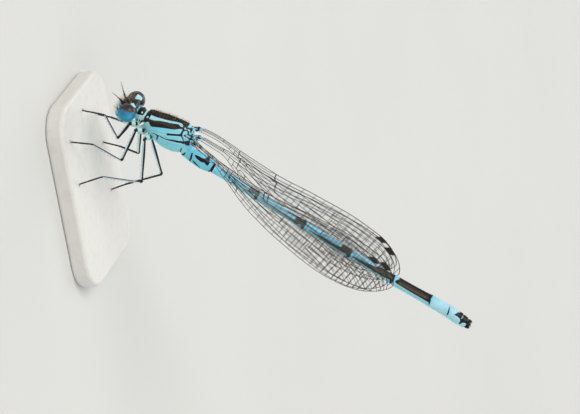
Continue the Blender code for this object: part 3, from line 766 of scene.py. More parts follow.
def body_skin_rings():
    """Rings of the skin, each point's distance round it from the back, and half its girth."""
    rows = skin_stations()
    middles = (rows[:, 0] + rows[:, 2]) / 2
    places = skin_places(middles[0], middles[-1])
    top_along, top_up, low_along, low_up, width = through(middles, rows, places).T
    turns = 2 * math.pi * np.arange(SKIN_SIDES) / SKIN_SIDES
    lean = np.cos(turns)[None, :]
    centre = np.stack((top_along + low_along, 0 * places, top_up + low_up), 1) / 2
    reach = np.stack((top_along - low_along, 0 * places, top_up - low_up), 1) / 2
    rings = centre[:, None] + reach[:, None] * lean[..., None]
    chest = rise(places, -5.3, -4.9) * (1 - rise(places, -1.4, -0.9))
    rings[..., 1] += width[:, None] * np.sin(turns)[None, :] * (1 - 0.1 * lean * chest[:, None])
    chord = np.linalg.norm(np.roll(rings, -1, 1) - rings, axis=2)
    half = SKIN_SIDES // 2
    girth = np.zeros(rings.shape[:2])
    girth[:, 1:half + 1] = np.cumsum(chord[:, :half], 1)
    girth[:, half + 1:] = np.cumsum(chord[:, :half - 1:-1], 1)[:, :half - 1][:, ::-1]
    return rings, girth, girth.max(1)


def skin_relief(along, girth, half):
    """How far the skin stands out of its plain shape, in millimetres."""
    flat = np.column_stack((along, girth))
    out = np.zeros(len(along))
    for seam in SEAMS:
        out -= 0.055 * hump(line_distance(flat, seam), 0, 0.05)
    chest = rise(along, -5.1, -4.8) * (1 - rise(along, -2.2, -1.8))
    out += chest * (0.06 * hump(girth, 0, 0.05) - 0.035 * hump(girth, 0.13, 0.08))
    out += 0.05 * hump(along, -5.33, 0.05) * (girth < 0.9)
    out -= 0.05 * hump(along, -5.5, 0.05) * (girth < 1.0)
    out += 0.05 * hump(along, -5.72, 0.12) * hump(girth, 0.3, 0.25)
    out -= 0.03 * hump(along, -5.96, 0.05)
    for joint, _, _ in SEGMENT_ENDS[:-1]:
        out += 0.028 * hump(along, joint - 0.05, 0.06) - 0.05 * hump(along, joint + 0.03, 0.03)
    tail = rise(along, -0.3, 0.2)
    out -= tail * 0.03 * hump(half - girth, 0.3 * half, 0.05)
    out += tail * 0.012 * hump(girth, 0, 0.03)
    out += 0.004 * np.sin(along * 31 + girth * 9) * np.sin(along * 13 - girth * 17)
    return out


def chest_share(along):
    """1 along the thorax, and 0 before and behind it."""
    return rise(along, -5.3, -5.0) * (1 - rise(along, -1.5, -0.8))


def skin_values(along, girth, half):
    """Where the skin is black, pale, bronze and mint, and how near the back it is. The pale value also holds painted
    light: the abdomen is lightened where the wings shade it.
    """
    flat = np.column_stack((along, girth))
    belly = np.column_stack((along, half - girth))
    dark = np.minimum(patch_distance(flat, BACK_BAND), patch_distance(flat, SHOULDER_BAND))
    dark = np.minimum(dark, patch_distance(flat, NECK_SHIELD))
    for outline in SADDLES:
        dark = np.minimum(dark, patch_distance(flat, outline))
    for path in BLACK_AND_SHADE_LINES:
        dark = np.minimum(dark, line_distance(flat, path))
    for path in BELLY_LINES:
        dark = np.minimum(dark, line_distance(belly, path))
    pale = np.zeros(len(along))
    for path in PALE_LINES:
        distance = line_distance(flat, path)
        pale = np.maximum(pale, rise(-distance, -0.03, 0.01))
        dark = np.maximum(dark, -distance)
    stripe = rise(along, -5.1, -4.9) * (1 - rise(along, -2.3, -2.0)) * (1 - rise(girth, 0.95, 1.1))
    pale = np.maximum(pale, 0.55 * stripe + 0.3 * stripe * hump(girth, 0.72, 0.09))
    pale = np.maximum(pale, 0.7 * rise(along, 22.4, 22.9))
    pale = np.maximum(pale, 0.75 * (1 - rise(along, -6.0, -5.85)))
    pale = np.maximum(pale, 0.5 * hump(along, -1.75, 0.22) * (1 - rise(girth, 1.2, 1.5)))
    for seam in SEAMS:
        pale = np.maximum(pale, 0.4 * hump(line_distance(flat, seam), 0.14, 0.08))
    for joint, _, _ in SEGMENT_ENDS[1:6]:
        pale = np.maximum(pale, 0.5 * hump(along, joint + 0.18, 0.09))
    # Painted light: from the second segment back the abdomen is lightened, its lower half more, to make up for the
    # shade that the wings cast on it.
    pale = np.maximum(pale, rise(along, 1.8, 2.6) * (0.2 + 0.16 * rise(girth / half, 0.4, 0.55)))
    chest = chest_share(along)
    front = 1 - rise(along, -5.3, -5.1)
    mint = np.maximum(front, chest * (1 - rise(along, -4.9, -4.2)) * rise(girth, 1.05, 1.4)) * 0.85
    mint = np.maximum(mint, chest * 0.45 * rise(girth / half, 0.7, 0.95))
    warm = 0.9 * hump(girth, 0.46, 0.08) * rise(along, 19.4, 19.7) * (1 - rise(along, 22.1, 22.4))
    warm += 0.6 * hump(girth, 0.36, 0.07) * rise(along, 16.8, 17.3) * (1 - rise(along, 18.9, 19.1))
    warm += 0.3 * hump(girth, 0.44, 0.05) * rise(along, 12.4, 13.0) * (1 - rise(along, 14.2, 14.6))
    warm += 0.3 * chest_share(along) * hump(girth, 0.95, 0.12)
    back = 1 - rise(girth / half, 0.15, 0.62)
    back *= 1 - 0.55 * np.maximum(chest, 1 - rise(along, 0.8, 3.5))
    return {"dark": dark, "pale": pale, "warm": warm, "mint": mint, "back": back}


def make_body_skin(material):
    """One skin over the prothorax, the thorax and the ten rings of the abdomen."""
    rings, girth, half = body_skin_rings()
    across = np.roll(rings, -1, 1) - np.roll(rings, 1, 1)
    down = np.gradient(rings, axis=0)
    out = np.cross(across, down)
    out /= np.linalg.norm(out, axis=2)[..., None]
    centre = rings.mean(1, keepdims=True)
    out *= np.sign(((rings - centre) * out).sum(2).mean())
    half = np.repeat(half[:, None], SKIN_SIDES, 1)
    along = rings[..., 0]
    relief = skin_relief(along.ravel(), girth.ravel(), half.ravel()).reshape(girth.shape)
    values = skin_values(along.ravel(), girth.ravel(), half.ravel())
    values = {key: end_values(value.reshape(girth.shape), SKIN_SIDES) for key, value in values.items()}
    points, faces = close_tube(rings + out * relief[..., None])
    skin = add_piece("body_skin", to_stance(points), faces, material, values)
    nodes = ["prothorax", "thorax"] + [f"abdomen_{i:02}" for i in range(1, 11)]
    return settle(skin, "body", *nodes)


# Head

HEAD_CORE = np.array((-6.9, 0.0, -0.2))
HEAD_LUMPS = (
    ((-6.85, 0, 0), (0.62, 0.8, 0.78)),
    ((-6.98, 0, 0.32), (0.48, 0.62, 0.4)),
    ((-6.5, 0, 0.3), (0.36, 1.0, 0.48)),
    ((-7.28, 0, -0.26), (0.42, 0.72, 0.4)),
    ((-7.26, 0, -0.62), (0.38, 0.58, 0.26)),
    ((-7.24, 0, -0.98), (0.34, 0.5, 0.3)),
    ((-6.9, 0, -1.15), (0.48, 0.52, 0.38)),
    ((-6.42, 0.72, -0.1), (0.34, 0.55, 0.74)),
    ((-6.42, -0.72, -0.1), (0.34, 0.55, 0.74)),
    ((-7.34, 0.44, 0.16), (0.16, 0.16, 0.18)),
    ((-7.34, -0.44, 0.16), (0.16, 0.16, 0.18)),
    ((-6.63, 0.98, 0.12), (0.71, 0.46, 0.73)),
    ((-6.63, -0.98, 0.12), (0.71, 0.46, 0.73)),
)
HEAD_SOFTNESS = 0.03


def outside_head(points):
    """About how far points are outside the head's blended surface, in millimetres."""
    total = np.zeros(len(points))
    for centre, radii in HEAD_LUMPS:
        scaled = (points - np.array(centre)) / np.array(radii)
        distance = (np.linalg.norm(scaled, axis=1) - 1) * min(radii)
        total += np.exp(-distance / HEAD_SOFTNESS)
    return -HEAD_SOFTNESS * np.log(np.maximum(total, 1e-30))


def on_head(directions, start=2.3):
    """Where rays from the head's core leave it."""
    directions = directions / np.linalg.norm(directions, axis=1)[:, None]
    reach = np.full(len(directions), start)
    for _ in range(120):
        reach -= 0.7 * outside_head(HEAD_CORE + directions * reach[:, None])
    return HEAD_CORE + directions * reach[:, None]


def globe(level):
    """Points and triangles of a round ball of triangles."""
    bm = bmesh.new()
    bmesh.ops.create_icosphere(bm, subdivisions=level, radius=1)
    points = np.array([vert.co[:] for vert in bm.verts])
    faces = [[vert.index for vert in face.verts] for face in bm.faces]
    bm.free()
    return points, faces


# The pale spot behind each eye, as along and out from the middle.
EYE_SPOT = (
    (-6.8, 0.5), (-6.78, 0.95), (-6.72, 1.14), (-6.4, 1.14), (-6.24, 1.0), (-6.24, 0.74),
    (-6.46, 0.6), (-6.6, 0.42),
)
# Lines on the head as rows of along, out, up and half width.
EYE_MARGIN = (
    (-6.02, 1.16, 0.5, 0.04), (-5.93, 1.14, 0.2, 0.07), (-5.97, 1.12, -0.3, 0.08),
    (-6.3, 1.08, -0.62, 0.05),
)
FACE_LINES = (
    ((-7.66, 0, -0.52, 0.13), (-7.56, 0.4, -0.52, 0.11), (-7.3, 0.66, -0.5, 0.06)),
    ((-7.62, 0, -0.82, 0.05), (-7.6, 0.05, -0.82, 0.04)),
    ((-7.4, 0.34, -1.08, 0.05), (-7.26, 0.5, -1.02, 0.06)),
    ((-7.5, 0, -1.26, 0.03), (-7.3, 0.42, -1.22, 0.04)),
    ((-7.2, 0.3, -1.44, 0.07), (-6.9, 0.42, -1.46, 0.12), (-6.5, 0.48, -1.2, 0.12), (-6.3, 0.5, -0.9, 0.08)),
    ((-7.66, 0.4, 0.0, 0.05), (-7.3, 0.72, -0.16, 0.08), (-7.1, 0.85, -0.3, 0.07)),
)


def head_values(points):
    """Markings of the head, the same on both sides."""
    mirrored = points * (1, 0, 1) + np.abs(points * (0, 1, 0))
    along, side, up = mirrored.T
    dark = 0.04 + 0.26 * rise(along, -7.1, -6.3) - up
    for path in FACE_LINES:
        dark = np.minimum(dark, line_distance(mirrored, path))
    spot = np.where(up > 0.3, patch_distance(mirrored[:, :2], EYE_SPOT), 9.0)
    margin = line_distance(mirrored, EYE_MARGIN)
    spot = np.minimum(spot, margin)
    dark = np.maximum(dark, -spot)
    pale = 0.8 * rise(-spot, -0.04, 0.02)
    pale = np.maximum(pale, 0.45 * rise(-up, -0.05, 0.1) * (1 - rise(along, -7.2, -6.9)))
    mint = 0.7 * rise(along, -6.5, -6.2) * rise(-up, -0.3, 0.2)
    tan = 0.8 * rise(-up, 1.2, 1.3) * (1 - rise(along, -6.9, -6.6))
    return {"dark": dark, "pale": pale, "mint": mint, "tan": tan, "back": np.full(len(up), 0.25)}


def make_head(material):
    """The head capsule between the eyes, down to the lip and the mouth."""
    directions, faces = globe(6)
    points = on_head(directions)
    along, side, up = points.T
    front = rise(-along, 7.0, 7.3)
    groove = np.zeros(len(points))
    for height in (-0.36, -0.68, -1.24):
        groove -= 0.035 * hump(up + 0.12 * np.abs(side), height, 0.03) * front
    groove -= 0.03 * hump(side, 0, 0.03) * rise(-along, 6.0, 6.3) * (1 - rise(-along, 6.8, 7.0)) * (up > 0)
    points = points + directions * groove[:, None]
    head = add_piece("head_capsule", to_stance(points), faces, material, head_values(points))
    return settle(head, "body", "head")


EYE_CENTRE = np.array((-6.65, 1.38, 0.1))
EYE_RADII = np.array((0.75, 0.72, 0.77))
FACET_DEPTH = 0.006


def make_eye(side, word, material):
    """A round eye set with thousands of small domed facets."""
    directions, triangles = globe(5)
    corners = directions[np.array(triangles)]
    dimples = corners.mean(1)
    dimples /= np.linalg.norm(dimples, axis=1)[:, None]
    faces = []
    for number, (a, b, c) in enumerate(triangles):
        dimple = len(directions) + number
        faces.extend(([a, b, dimple], [b, c, dimple], [c, a, dimple]))
    unit = np.vstack((directions, dimples * (1 - FACET_DEPTH)))
    ahead, outward, up = unit[:, 0], unit[:, 1] * side, unit[:, 2]
    cap = 0.56 + 0.17 * ahead - 0.34 * rise(-ahead, 0.5, 1.05) - up
    cap = np.minimum(cap, outward + 0.05 - 0.5 * up) * EYE_RADII[2]
    # rim: a painted pale highlight along the top of the inner edge, then black further round on the inner side.
    rim = rise(-outward, 0.12, 0.17) * rise(up, 0.0, 0.3) - 2 * rise(-outward, 0.2, 0.28)
    points = unit * EYE_RADII + EYE_CENTRE * (1, side, 1)
    eye = add_piece("eye_ball_" + word, to_stance(points), faces, material, {"cap": cap, "rim": rim})
    return settle(eye, "eye", "eye_" + word)


def make_ocelli(material):
    """Three small glassy simple eyes on top of the head."""
    shells = []
    for along, side in ((-7.3, 0.0), (-7.1, 0.22), (-7.1, -0.22)):
        foot = on_head(np.array([(along, side, 0.75)]) - HEAD_CORE)[0]
        unit, faces = globe(3)
        shells.append((unit * (0.075, 0.075, 0.06) + foot, faces))
    points, faces, _ = join_shells(shells)
    return settle(add_piece("ocelli", to_stance(points), faces, material), "eye")


ANTENNA_PATH = ((-7.2, 0.42, 0.14), (-7.5, 0.5, 0.3), (-7.72, 0.6, 0.44), (-7.95, 0.76, 0.58),
                (-8.2, 0.96, 0.74), (-8.5, 1.26, 0.92))
ANTENNA_RADII = (0.11, 0.1, 0.065, 0.034, 0.026, 0.012)


def make_antenna(side, word, material):
    """A short feeler: two thick joints, then a fine whip."""
    t = np.linspace(0, 1, 60)
    places = np.linspace(0, 1, len(ANTENNA_PATH))
    path = through(places, np.array(ANTENNA_PATH) * (1, side, 1), t)
    radii = through(places, ANTENNA_RADII, t)
    radii *= 1 - 0.25 * hump(t, 0.24, 0.02) - 0.3 * hump(t, 0.42, 0.02)
    rings, _ = tube_rings(path, radii, 12)
    points, faces = close_tube(rings)
    feeler = add_piece("feeler_" + word, to_stance(points), faces, material)
    return settle(feeler, "antenna", "antenna_" + word)


# Wings

WINGS = {
    "fore": {
        "hinge": (-0.95, 1.05),
        "dip": math.radians(4.2),
        "spread": ((0, 1.12), (0.7, 1.42), (1.6, 1.7), (2.6, 1.8), (20, 1.8)),
        "lead": (
            (0, 0.2), (3.5, 0.16), (7.3, 0.3), (11, 0.85), (15.3, 1.28), (17.2, 1.24),
            (18.5, 0.92), (19.2, 0.5), (19.5, 0.22), (19.64, 0.02), (19.69, -0.08), (19.7, -0.17),
        ),
        "trail": (
            (0, -0.22), (2.6, -0.26), (4.2, -0.6), (6.2, -1.25), (9, -2.05), (12, -2.55),
            (15, -2.75), (17, -2.5), (18.5, -1.8), (19.3, -1.0), (19.58, -0.6), (19.66, -0.41),
            (19.69, -0.28), (19.7, -0.19),
        ),
        "stigma": (17.3, 18.05),
        "seed": 11,
    },
    "hind": {
        "hinge": (-0.55, 0.58),
        "dip": math.radians(2.8),
        "spread": ((0, 0.74), (1.5, 0.95), (3, 1.22), (20, 1.22)),
        "lead": (
            (0, 0.2), (3.5, 0.18), (7.6, 0.32), (11, 0.88), (15.7, 1.4), (17.3, 1.34),
            (18.5, 1.0), (19.3, 0.48), (19.62, 0.12), (19.78, -0.14), (19.838, -0.28), (19.85, -0.37),
        ),
        "trail": (
            (0, -0.22), (1.9, -0.28), (3.7, -0.92), (5.5, -1.7), (7, -2.2), (10, -2.8),
            (14, -3.15), (16, -2.97), (17.8, -2.45), (19.0, -1.62), (19.6, -0.95), (19.78, -0.64),
            (19.838, -0.48), (19.85, -0.39),
        ),
        "stigma": (17.98, 18.75),
        "seed": 23,
    },
}
# Share of the wing's width, from the leading edge, at which each long vein runs.
LONG_VEINS = {
    "costa": ((0, 0.0), (20, 0.0)),
    "radius": ((0, 0.46), (2.6, 0.5), (4.2, 0.38), (6.2, 0.24), (7.3, 0.17), (9, 0.115),
               (12, 0.085), (15, 0.085), (17, 0.1), (18.5, 0.15), (19.2, 0.3), (19.45, 0.6), (19.6, 1.0)),
    "ray_1": ((3.8, 0.5), (4.6, 0.48), (6.2, 0.38), (7.3, 0.3), (9, 0.22), (12, 0.17),
              (15, 0.175), (17, 0.205), (18.5, 0.31), (19.2, 0.6), (19.46, 1.0)),
    "between_1": ((13, 0.235), (15, 0.27), (17, 0.33), (18.5, 0.49), (19.1, 0.78), (19.3, 1.0)),
    "ray_2": ((9.8, 0.21), (11, 0.245), (13, 0.3), (15, 0.36), (17, 0.45), (18.5, 0.67), (19.08, 1.0)),
    "between_2": ((6.9, 0.33), (8, 0.35), (10, 0.37), (12, 0.41), (14, 0.47), (16, 0.56),
                  (17.5, 0.72), (18.2, 0.94)),
    "ray_3": ((5.4, 0.45), (7, 0.5), (9, 0.5), (11, 0.53), (13, 0.58), (15, 0.67), (16.2, 0.79), (16.9, 0.9)),
    "middle": ((4.2, 0.62), (6, 0.65), (8, 0.66), (10, 0.69), (12, 0.74), (13.6, 0.81), (15.2, 0.895)),
    "cubitus": ((3.4, 0.8), (4.6, 0.82), (6, 0.83), (8, 0.86), (9, 0.885), (11, 0.9), (13, 0.89),
                (15, 0.895), (16.5, 0.9), (17.8, 0.92), (18.95, 1.0)),
    "hem": ((0, 1.0), (20, 1.0)),
}
SHORT_VEINS = {
    "added_1": ((14.0, 0.525), (16, 0.63), (17, 0.77), (17.5, 0.91)),
    "added_2": ((12.4, 0.65), (14, 0.71), (15.2, 0.79), (16.1, 0.9)),
    "added_3": ((10.6, 0.79), (12, 0.82), (13.2, 0.85), (13.9, 0.89)),
    "added_4": ((13.2, 0.37), (15, 0.44), (16.6, 0.53), (17.8, 0.7), (18.66, 1.0)),
}
VEIN_RADII = {
    "costa": (0.025, 0.032), "radius": (0.025, 0.026), "ray_1": (0.022, 0.022), "ray_2": (0.023, 0.02),
    "between_1": (0.021, 0.018), "between_2": (0.022, 0.02), "ray_3": (0.022, 0.02),
    "middle": (0.022, 0.02), "cubitus": (0.021, 0.021), "hem": (0.021, 0.026),
}
SHORT_VEIN_RADII = (0.019, 0.018)
RUNG_RADIUS = 0.0235
# How far the wing spots of the left and the right pair sit from their plain place.
STIGMA_SHIFT = {LEFT: 0.28, RIGHT: 0.0}
# Gaps between the columns of cross veins: the first ones after the node, then at both ends.
NODE_GAPS = (1.45, 1.12, 1.1)
FRONT_GAPS = (0.93, 0.6)
REAR_GAPS = (0.9, 0.46)
REAR_SHARE = 0.6
PLEATED = ("costa", "radius", "ray_1", "between_2", "ray_3", "middle", "cubitus", "hem")
PLEAT_DEPTH = 0.045
NODE_PLACE = 7.3
FIRST_RUNG = 4.9


# Cross veins at fixed places, each as two veins and distances along them, then a radius.
ROOT_RUNGS = (
    ("costa", 2.15, "radius", 2.21, 0.03),
    ("costa", 3.75, "radius", 3.81, 0.03),
    ("costa", NODE_PLACE, "radius", NODE_PLACE + 0.06, 0.05),
    ("radius", NODE_PLACE + 0.06, "ray_1", NODE_PLACE + 0.22, 0.04),
    ("ray_1", NODE_PLACE + 0.22, "between_2", NODE_PLACE + 0.3, 0.03),
    ("radius", 3.8, "cubitus", 3.9, 0.03),
    ("middle", 4.25, "cubitus", 4.1, 0.026),
    ("middle", 4.7, "cubitus", 4.9, 0.026),
    ("cubitus", 4.1, "hem", 4.3, 0.024),
    ("radius", 2.9, "hem", 2.95, 0.024),
    ("radius", 3.4, "hem", 3.45, 0.024),
)


def vein_share(name, s):
    """Share of the width at which a vein runs, at distances s from the hinge."""
    table = LONG_VEINS.get(name) or SHORT_VEINS[name]
    places, shares = zip(*table)
    return through(places, shares, np.atleast_1d(s))


def vein_span(name):
    table = LONG_VEINS.get(name) or SHORT_VEINS[name]
    return table[0][0], table[-1][0]


def pleat(s, share):
    """How far the wing stands out of its plane, in folds from vein to vein."""
    ridges = np.maximum.accumulate(np.array([vein_share(name, s) for name in PLEATED]), axis=0)
    out = np.zeros(len(s))
    for i in range(len(PLEATED) - 1):
        low, high = ridges[i], ridges[i + 1]
        inside = (share >= low) & (share <= high)
        t = np.where(high > low, (share - low) / np.maximum(high - low, 1e-6), 0.0)
        sign = 1 if i % 2 == 0 else -1
        out = np.where(inside, sign * (1 - 2 * t), out)
    fade = (1 - 0.6 * rise(s, 6, 19)) * rise(s, 1.5, 6)
    return PLEAT_DEPTH * out * fade


def on_wing(pair, side, s, share, lift=0.0):
    """Places on a wing in the insect's frame, from distance along it and share of its width."""
    spec = WINGS[pair]
    s, share = np.broadcast_arrays(np.asarray(s, float), np.asarray(share, float))
    s, share = s.ravel(), share.ravel()
    lead = through(*zip(*spec["lead"]), s)
    trail = through(*zip(*spec["trail"]), s)
    spread = through(*zip(*spec["spread"]), s)
    t = lead + (trail - lead) * share
    camber = 0.06 * np.sin(math.pi * share) * rise(s, 2, 8) - 0.05 * rise(s, 15, 20)
    out = side * (spread + camber + pleat(s, share)) + lift
    dip = spec["dip"]
    along = spec["hinge"][0] + s * math.cos(dip) + t * math.sin(dip)
    up = spec["hinge"][1] - s * math.sin(dip) + t * math.cos(dip)
    return np.stack((along, out, up), 1)


def wing_end(pair):
    return WINGS[pair]["lead"][-1][0]


def vein_chain(pair, side, name, start, stop, radii):
    """A long vein as stance points and radii, with closer points towards the wing tip."""
    count = max(int((stop - start) / 0.1), 4)
    s = stop - (stop - start) * np.linspace(1, 0, count) ** 1.5
    zigzag = 0.0
    if name in SHORT_VEINS or name in ("ray_3", "middle", "between_1", "ray_2"):
        width = 0.012 * rise(s, 11, 15)
        zigzag = width * (2 * np.abs((s / 0.5) % 2 - 1) - 1)
    places = on_wing(pair, side, s, np.clip(vein_share(name, s) + zigzag, 0, 1))
    return to_stance(places), np.linspace(*radii, count)


def veins_at(s, end):
    """Names of the long veins that cross the wing at s, from its leading edge."""
    names = [n for n in (*LONG_VEINS, *SHORT_VEINS) if vein_span(n)[0] <= s <= min(vein_span(n)[1], end)]
    return sorted(names, key=lambda name: float(vein_share(name, s)[0]))


def column_places(start, first_gaps, gaps, end):
    """Where columns of cross veins stand, closer together towards the tip."""
    places = [start]
    while places[-1] < end:
        number = len(places) - 1
        share = float(rise(places[-1], 9, 16))
        gap = first_gaps[number] if number < len(first_gaps) else gaps[0] + (gaps[1] - gaps[0]) * share
        places.append(places[-1] + gap)
    return places[:-1]


def walk_column(pair, s, dice, front, end):
    """Cross veins of one column, each one starting about where the one above it ends."""
    spec = WINGS[pair]
    found = []
    here = veins_at(s, end)
    for upper, lower in zip(here, here[1:]):
        if not vein_span(upper)[0] <= s <= vein_span(upper)[1]:
            continue
        top, bottom = float(vein_share(upper, s)[0]), float(vein_share(lower, s)[0])
        if (top + bottom < 2 * REAR_SHARE) != front:
            continue
        width = float(through(*zip(*spec["lead"]), [s])[0] - through(*zip(*spec["trail"]), [s])[0])
        lean = 0.1 * (bottom - top) * width
        found.append((upper, s, lower, s - lean))
        s += dice.uniform(-0.03, 0.03) - lean
    return found


def rungs(pair):
    """Cross veins as (upper vein, its s, lower vein, its s)."""
    dice = random.Random(WINGS[pair]["seed"])
    end = wing_end(pair) - 0.25
    found = []
    for s in column_places(NODE_PLACE, NODE_GAPS, FRONT_GAPS, end)[1:]:
        found += walk_column(pair, s, dice, True, end)
    for s in column_places(FIRST_RUNG, (), REAR_GAPS, end):
        found += walk_column(pair, s, dice, False, end)
    found = [r for r in found if r[1] >= vein_span(r[0])[0] and r[3] >= vein_span(r[2])[0]]
    for name in ("between_1", "ray_2", *SHORT_VEINS):
        s = vein_span(name)[0]
        here = veins_at(s, end)
        i = here.index(name)
        found += [(here[i - 1], s + 0.03, name, s), (name, s, here[i + 1], s - 0.03)]
    first, stop = WINGS[pair]["stigma"]
    return [r for r in found if not (r[0] == "costa" and first - 0.2 < r[1] < stop + 0.3)]


def rung_chain(pair, side, upper, s_upper, lower, s_lower, radius):
    """A cross vein, its ends sunk in the two long veins, slightly bowed."""
    a = float(vein_share(upper, s_upper)[0])
    b = float(vein_share(lower, s_lower)[0])
    t = np.linspace(0, 1, 5)
    s = s_upper + (s_lower - s_upper) * t + 0.02 * np.sin(math.pi * t)
    return to_stance(on_wing(pair, side, s, a + (b - a) * t)), np.full(5, radius)


def make_veins(pair, side, word, material):
    """The whole net of one wing."""
    end = wing_end(pair)
    chains = []
    for name, radii in VEIN_RADII.items():
        start, stop = vein_span(name)
        chains.append(vein_chain(pair, side, name, start, min(stop, end), radii))
    for name in SHORT_VEINS:
        start, stop = vein_span(name)
        chains.append(vein_chain(pair, side, name, start, min(stop, end), SHORT_VEIN_RADII))
    for upper, s_upper, lower, s_lower in rungs(pair):
        chains.append(rung_chain(pair, side, upper, s_upper, lower, s_lower, RUNG_RADIUS))
    s = np.linspace(0, NODE_PLACE, 60)
    under_edge = 0.5 * vein_share("radius", s) * (1 - rise(s, 6.6, NODE_PLACE))
    chains.append((to_stance(on_wing(pair, side, s, under_edge)), np.linspace(0.018, 0.02, 60)))
    for upper, s_upper, lower, s_lower, radius in ROOT_RUNGS:
        chains.append(rung_chain(pair, side, upper, s_upper, lower, s_lower, radius))
    return settle(grow_strands(f"veins_{pair}_{word}", chains, material, 6), "wing")


MEMBRANE_COLUMNS = 150
MEMBRANE_ROWS = 48


def make_membrane(pair, side, word, material):
    """The clear skin of one wing, folded along its veins."""
    end = wing_end(pair)
    s = end * (1 - (1 - np.linspace(0, 1, MEMBRANE_COLUMNS)) ** 1.4)
    share = np.linspace(0, 1, MEMBRANE_ROWS)
    grid_s, grid_share = np.meshgrid(s, share, indexing="ij")
    points = on_wing(pair, side, grid_s, grid_share)
    faces = []
    for i in range(MEMBRANE_COLUMNS - 1):
        for j in range(MEMBRANE_ROWS - 1):
            a = i * MEMBRANE_ROWS + j
            faces.append([a, a + 1, a + 1 + MEMBRANE_ROWS, a + MEMBRANE_ROWS])
    # Painted sheen: milky streaks across the middle of the wing and near its front edge.
    painted_sheen = hump(grid_share, 0.3, 0.07) * rise(grid_s, 3.6, 5) * (1 - rise(grid_s, 8, 13))
    painted_sheen += 0.7 * hump(grid_share, 0.13, 0.03) * rise(grid_s, 7, 9) * (1 - rise(grid_s, 15, 18))
    wing = add_piece(f"membrane_{pair}_{word}", to_stance(points), faces, material, {"pale": painted_sheen.ravel()})
    return settle(wing, "wing", f"wing_{pair}_{word}")


def make_stigma(pair, side, word, material):
    """The dark slanted spot near the wing tip, a little thicker than the wing."""
    first, last = WINGS[pair]["stigma"]
    columns, rows = 12, 6
    grid = []
    for face in (-1, 1):
        t, share = np.meshgrid(np.linspace(0, 1, columns), np.linspace(0, 1, rows), indexing="ij")
        s = first + STIGMA_SHIFT[side] + (last - first) * t - 0.42 * share
        swell = 0.03 * (np.sin(math.pi * t) * np.sin(math.pi * share)) ** 0.3 + 0.004
        low = vein_share("radius", s.ravel()).reshape(s.shape)
        places = on_wing(pair, side, s, low * share)
        places[:, 1] += face * swell.ravel()
        grid.append(places)
    points = np.vstack(grid)
    faces = []
    size = columns * rows
    for face in (0, 1):
        for i in range(columns - 1):
            for j in range(rows - 1):
                a = face * size + i * rows + j
                faces.append([a, a + 1, a + 1 + rows, a + rows])
    rim = [i * rows for i in range(columns)]
    rim += [(columns - 1) * rows + j for j in range(1, rows)]
    rim += [i * rows + rows - 1 for i in range(columns - 2, -1, -1)]
    rim += [j for j in range(rows - 2, 0, -1)]
    for a, b in zip(rim, rim[1:] + rim[:1]):
        faces.append([a, b, b + size, a + size])
    spot = add_piece(f"wing_spot_{pair}_{word}", to_stance(points), faces, material)
    return settle(spot, "wing")


# Legs

LEGS = {
    "leg_front_left": ((-4.83, -0.5, 6), (-5.25, -1.4, 5.73), (-4.75, -3.3, 5.14),
                       (-6.32, -1.9, 3.92), (-6.35, -0.65, 2.05)),
    "leg_mid_left": ((-4.11, -0.5, 6.5), (-4.69, -1.4, 6.15), (-2.64, -3, 4.99),
                     (-4.59, -3.9, 3.13), (-5.13, -4.5, 2.05)),
    "leg_hind_left": ((-3.64, -0.5, 7), (-3.89, -1.4, 6.75), (-0.58, -2.9, 6.32),
                      (-1.73, -4, 3.46), (-1.37, -4.45, 2.05)),
    "leg_front_right": ((-4.83, 0.5, 6), (-4.2, 1.1, 5.3), (-3.67, 3.2, 3.45),
                        (-4.58, 2, 2.93), (-4.6, 2.75, 2.05)),
    "leg_mid_right": ((-4.11, 0.5, 6.5), (-3.8, 1.2, 5.6), (-1.02, 2.5, 4.53),
                      (-1.32, 3.6, 2.61), (-2.1, 2.75, 2.05)),
    "leg_hind_right": ((-3.64, 0.5, 7), (-3, 1.2, 6.35), (0.9, 2.3, 6.28),
                       (2.12, 3.6, 2.51), (2.07, 2.5, 2.05)),
}
# Share of a leg piece and radius there, from its root to its end.
PIECE_RADII = {
    "coxa": ((0, 0.27), (0.5, 0.27), (0.8, 0.2), (1, 0.17)),
    "femur": ((0, 0.15), (0.06, 0.12), (0.12, 0.13), (0.35, 0.15), (0.85, 0.115), (0.96, 0.125), (1, 0.11)),
    "tibia": ((0, 0.1), (0.06, 0.085), (0.5, 0.078), (0.94, 0.078), (1, 0.085)),
    "tarsus": ((0, 0.075), (0.1, 0.06), (0.3, 0.07), (0.33, 0.05), (0.36, 0.064), (0.6, 0.068),
               (0.63, 0.048), (0.66, 0.062), (0.94, 0.06), (1, 0.035)),
}
LEG_SIDES = 20
BEND = 0.16


def leg_path(joints):
    """Points along a leg with rounded bends, and how far along which piece each one is."""
    joints = np.array(joints, float)
    foot = joints[-1].copy()
    foot[2] = BASE_TOP + 0.06
    joints[-1] = foot
    path, piece_of, share_of = [], [], []
    for i in range(len(joints) - 1):
        start, end = joints[i], joints[i + 1]
        length = np.linalg.norm(end - start)
        count = max(int(length / 0.05), 12)
        for t in np.linspace(0, 1, count, endpoint=i == len(joints) - 2):
            path.append(start + (end - start) * t)
            piece_of.append(i)
            share_of.append(t)
    path = np.array(path)
    rounded = path.copy()
    for joint in joints[1:-1]:
        distance = np.linalg.norm(path - joint, axis=1)
        for k in np.where(distance < BEND)[0]:
            near = slice(max(k - 3, 0), k + 4)
            rounded[k] = path[near].mean(0)
    return rounded, np.array(piece_of), np.array(share_of)


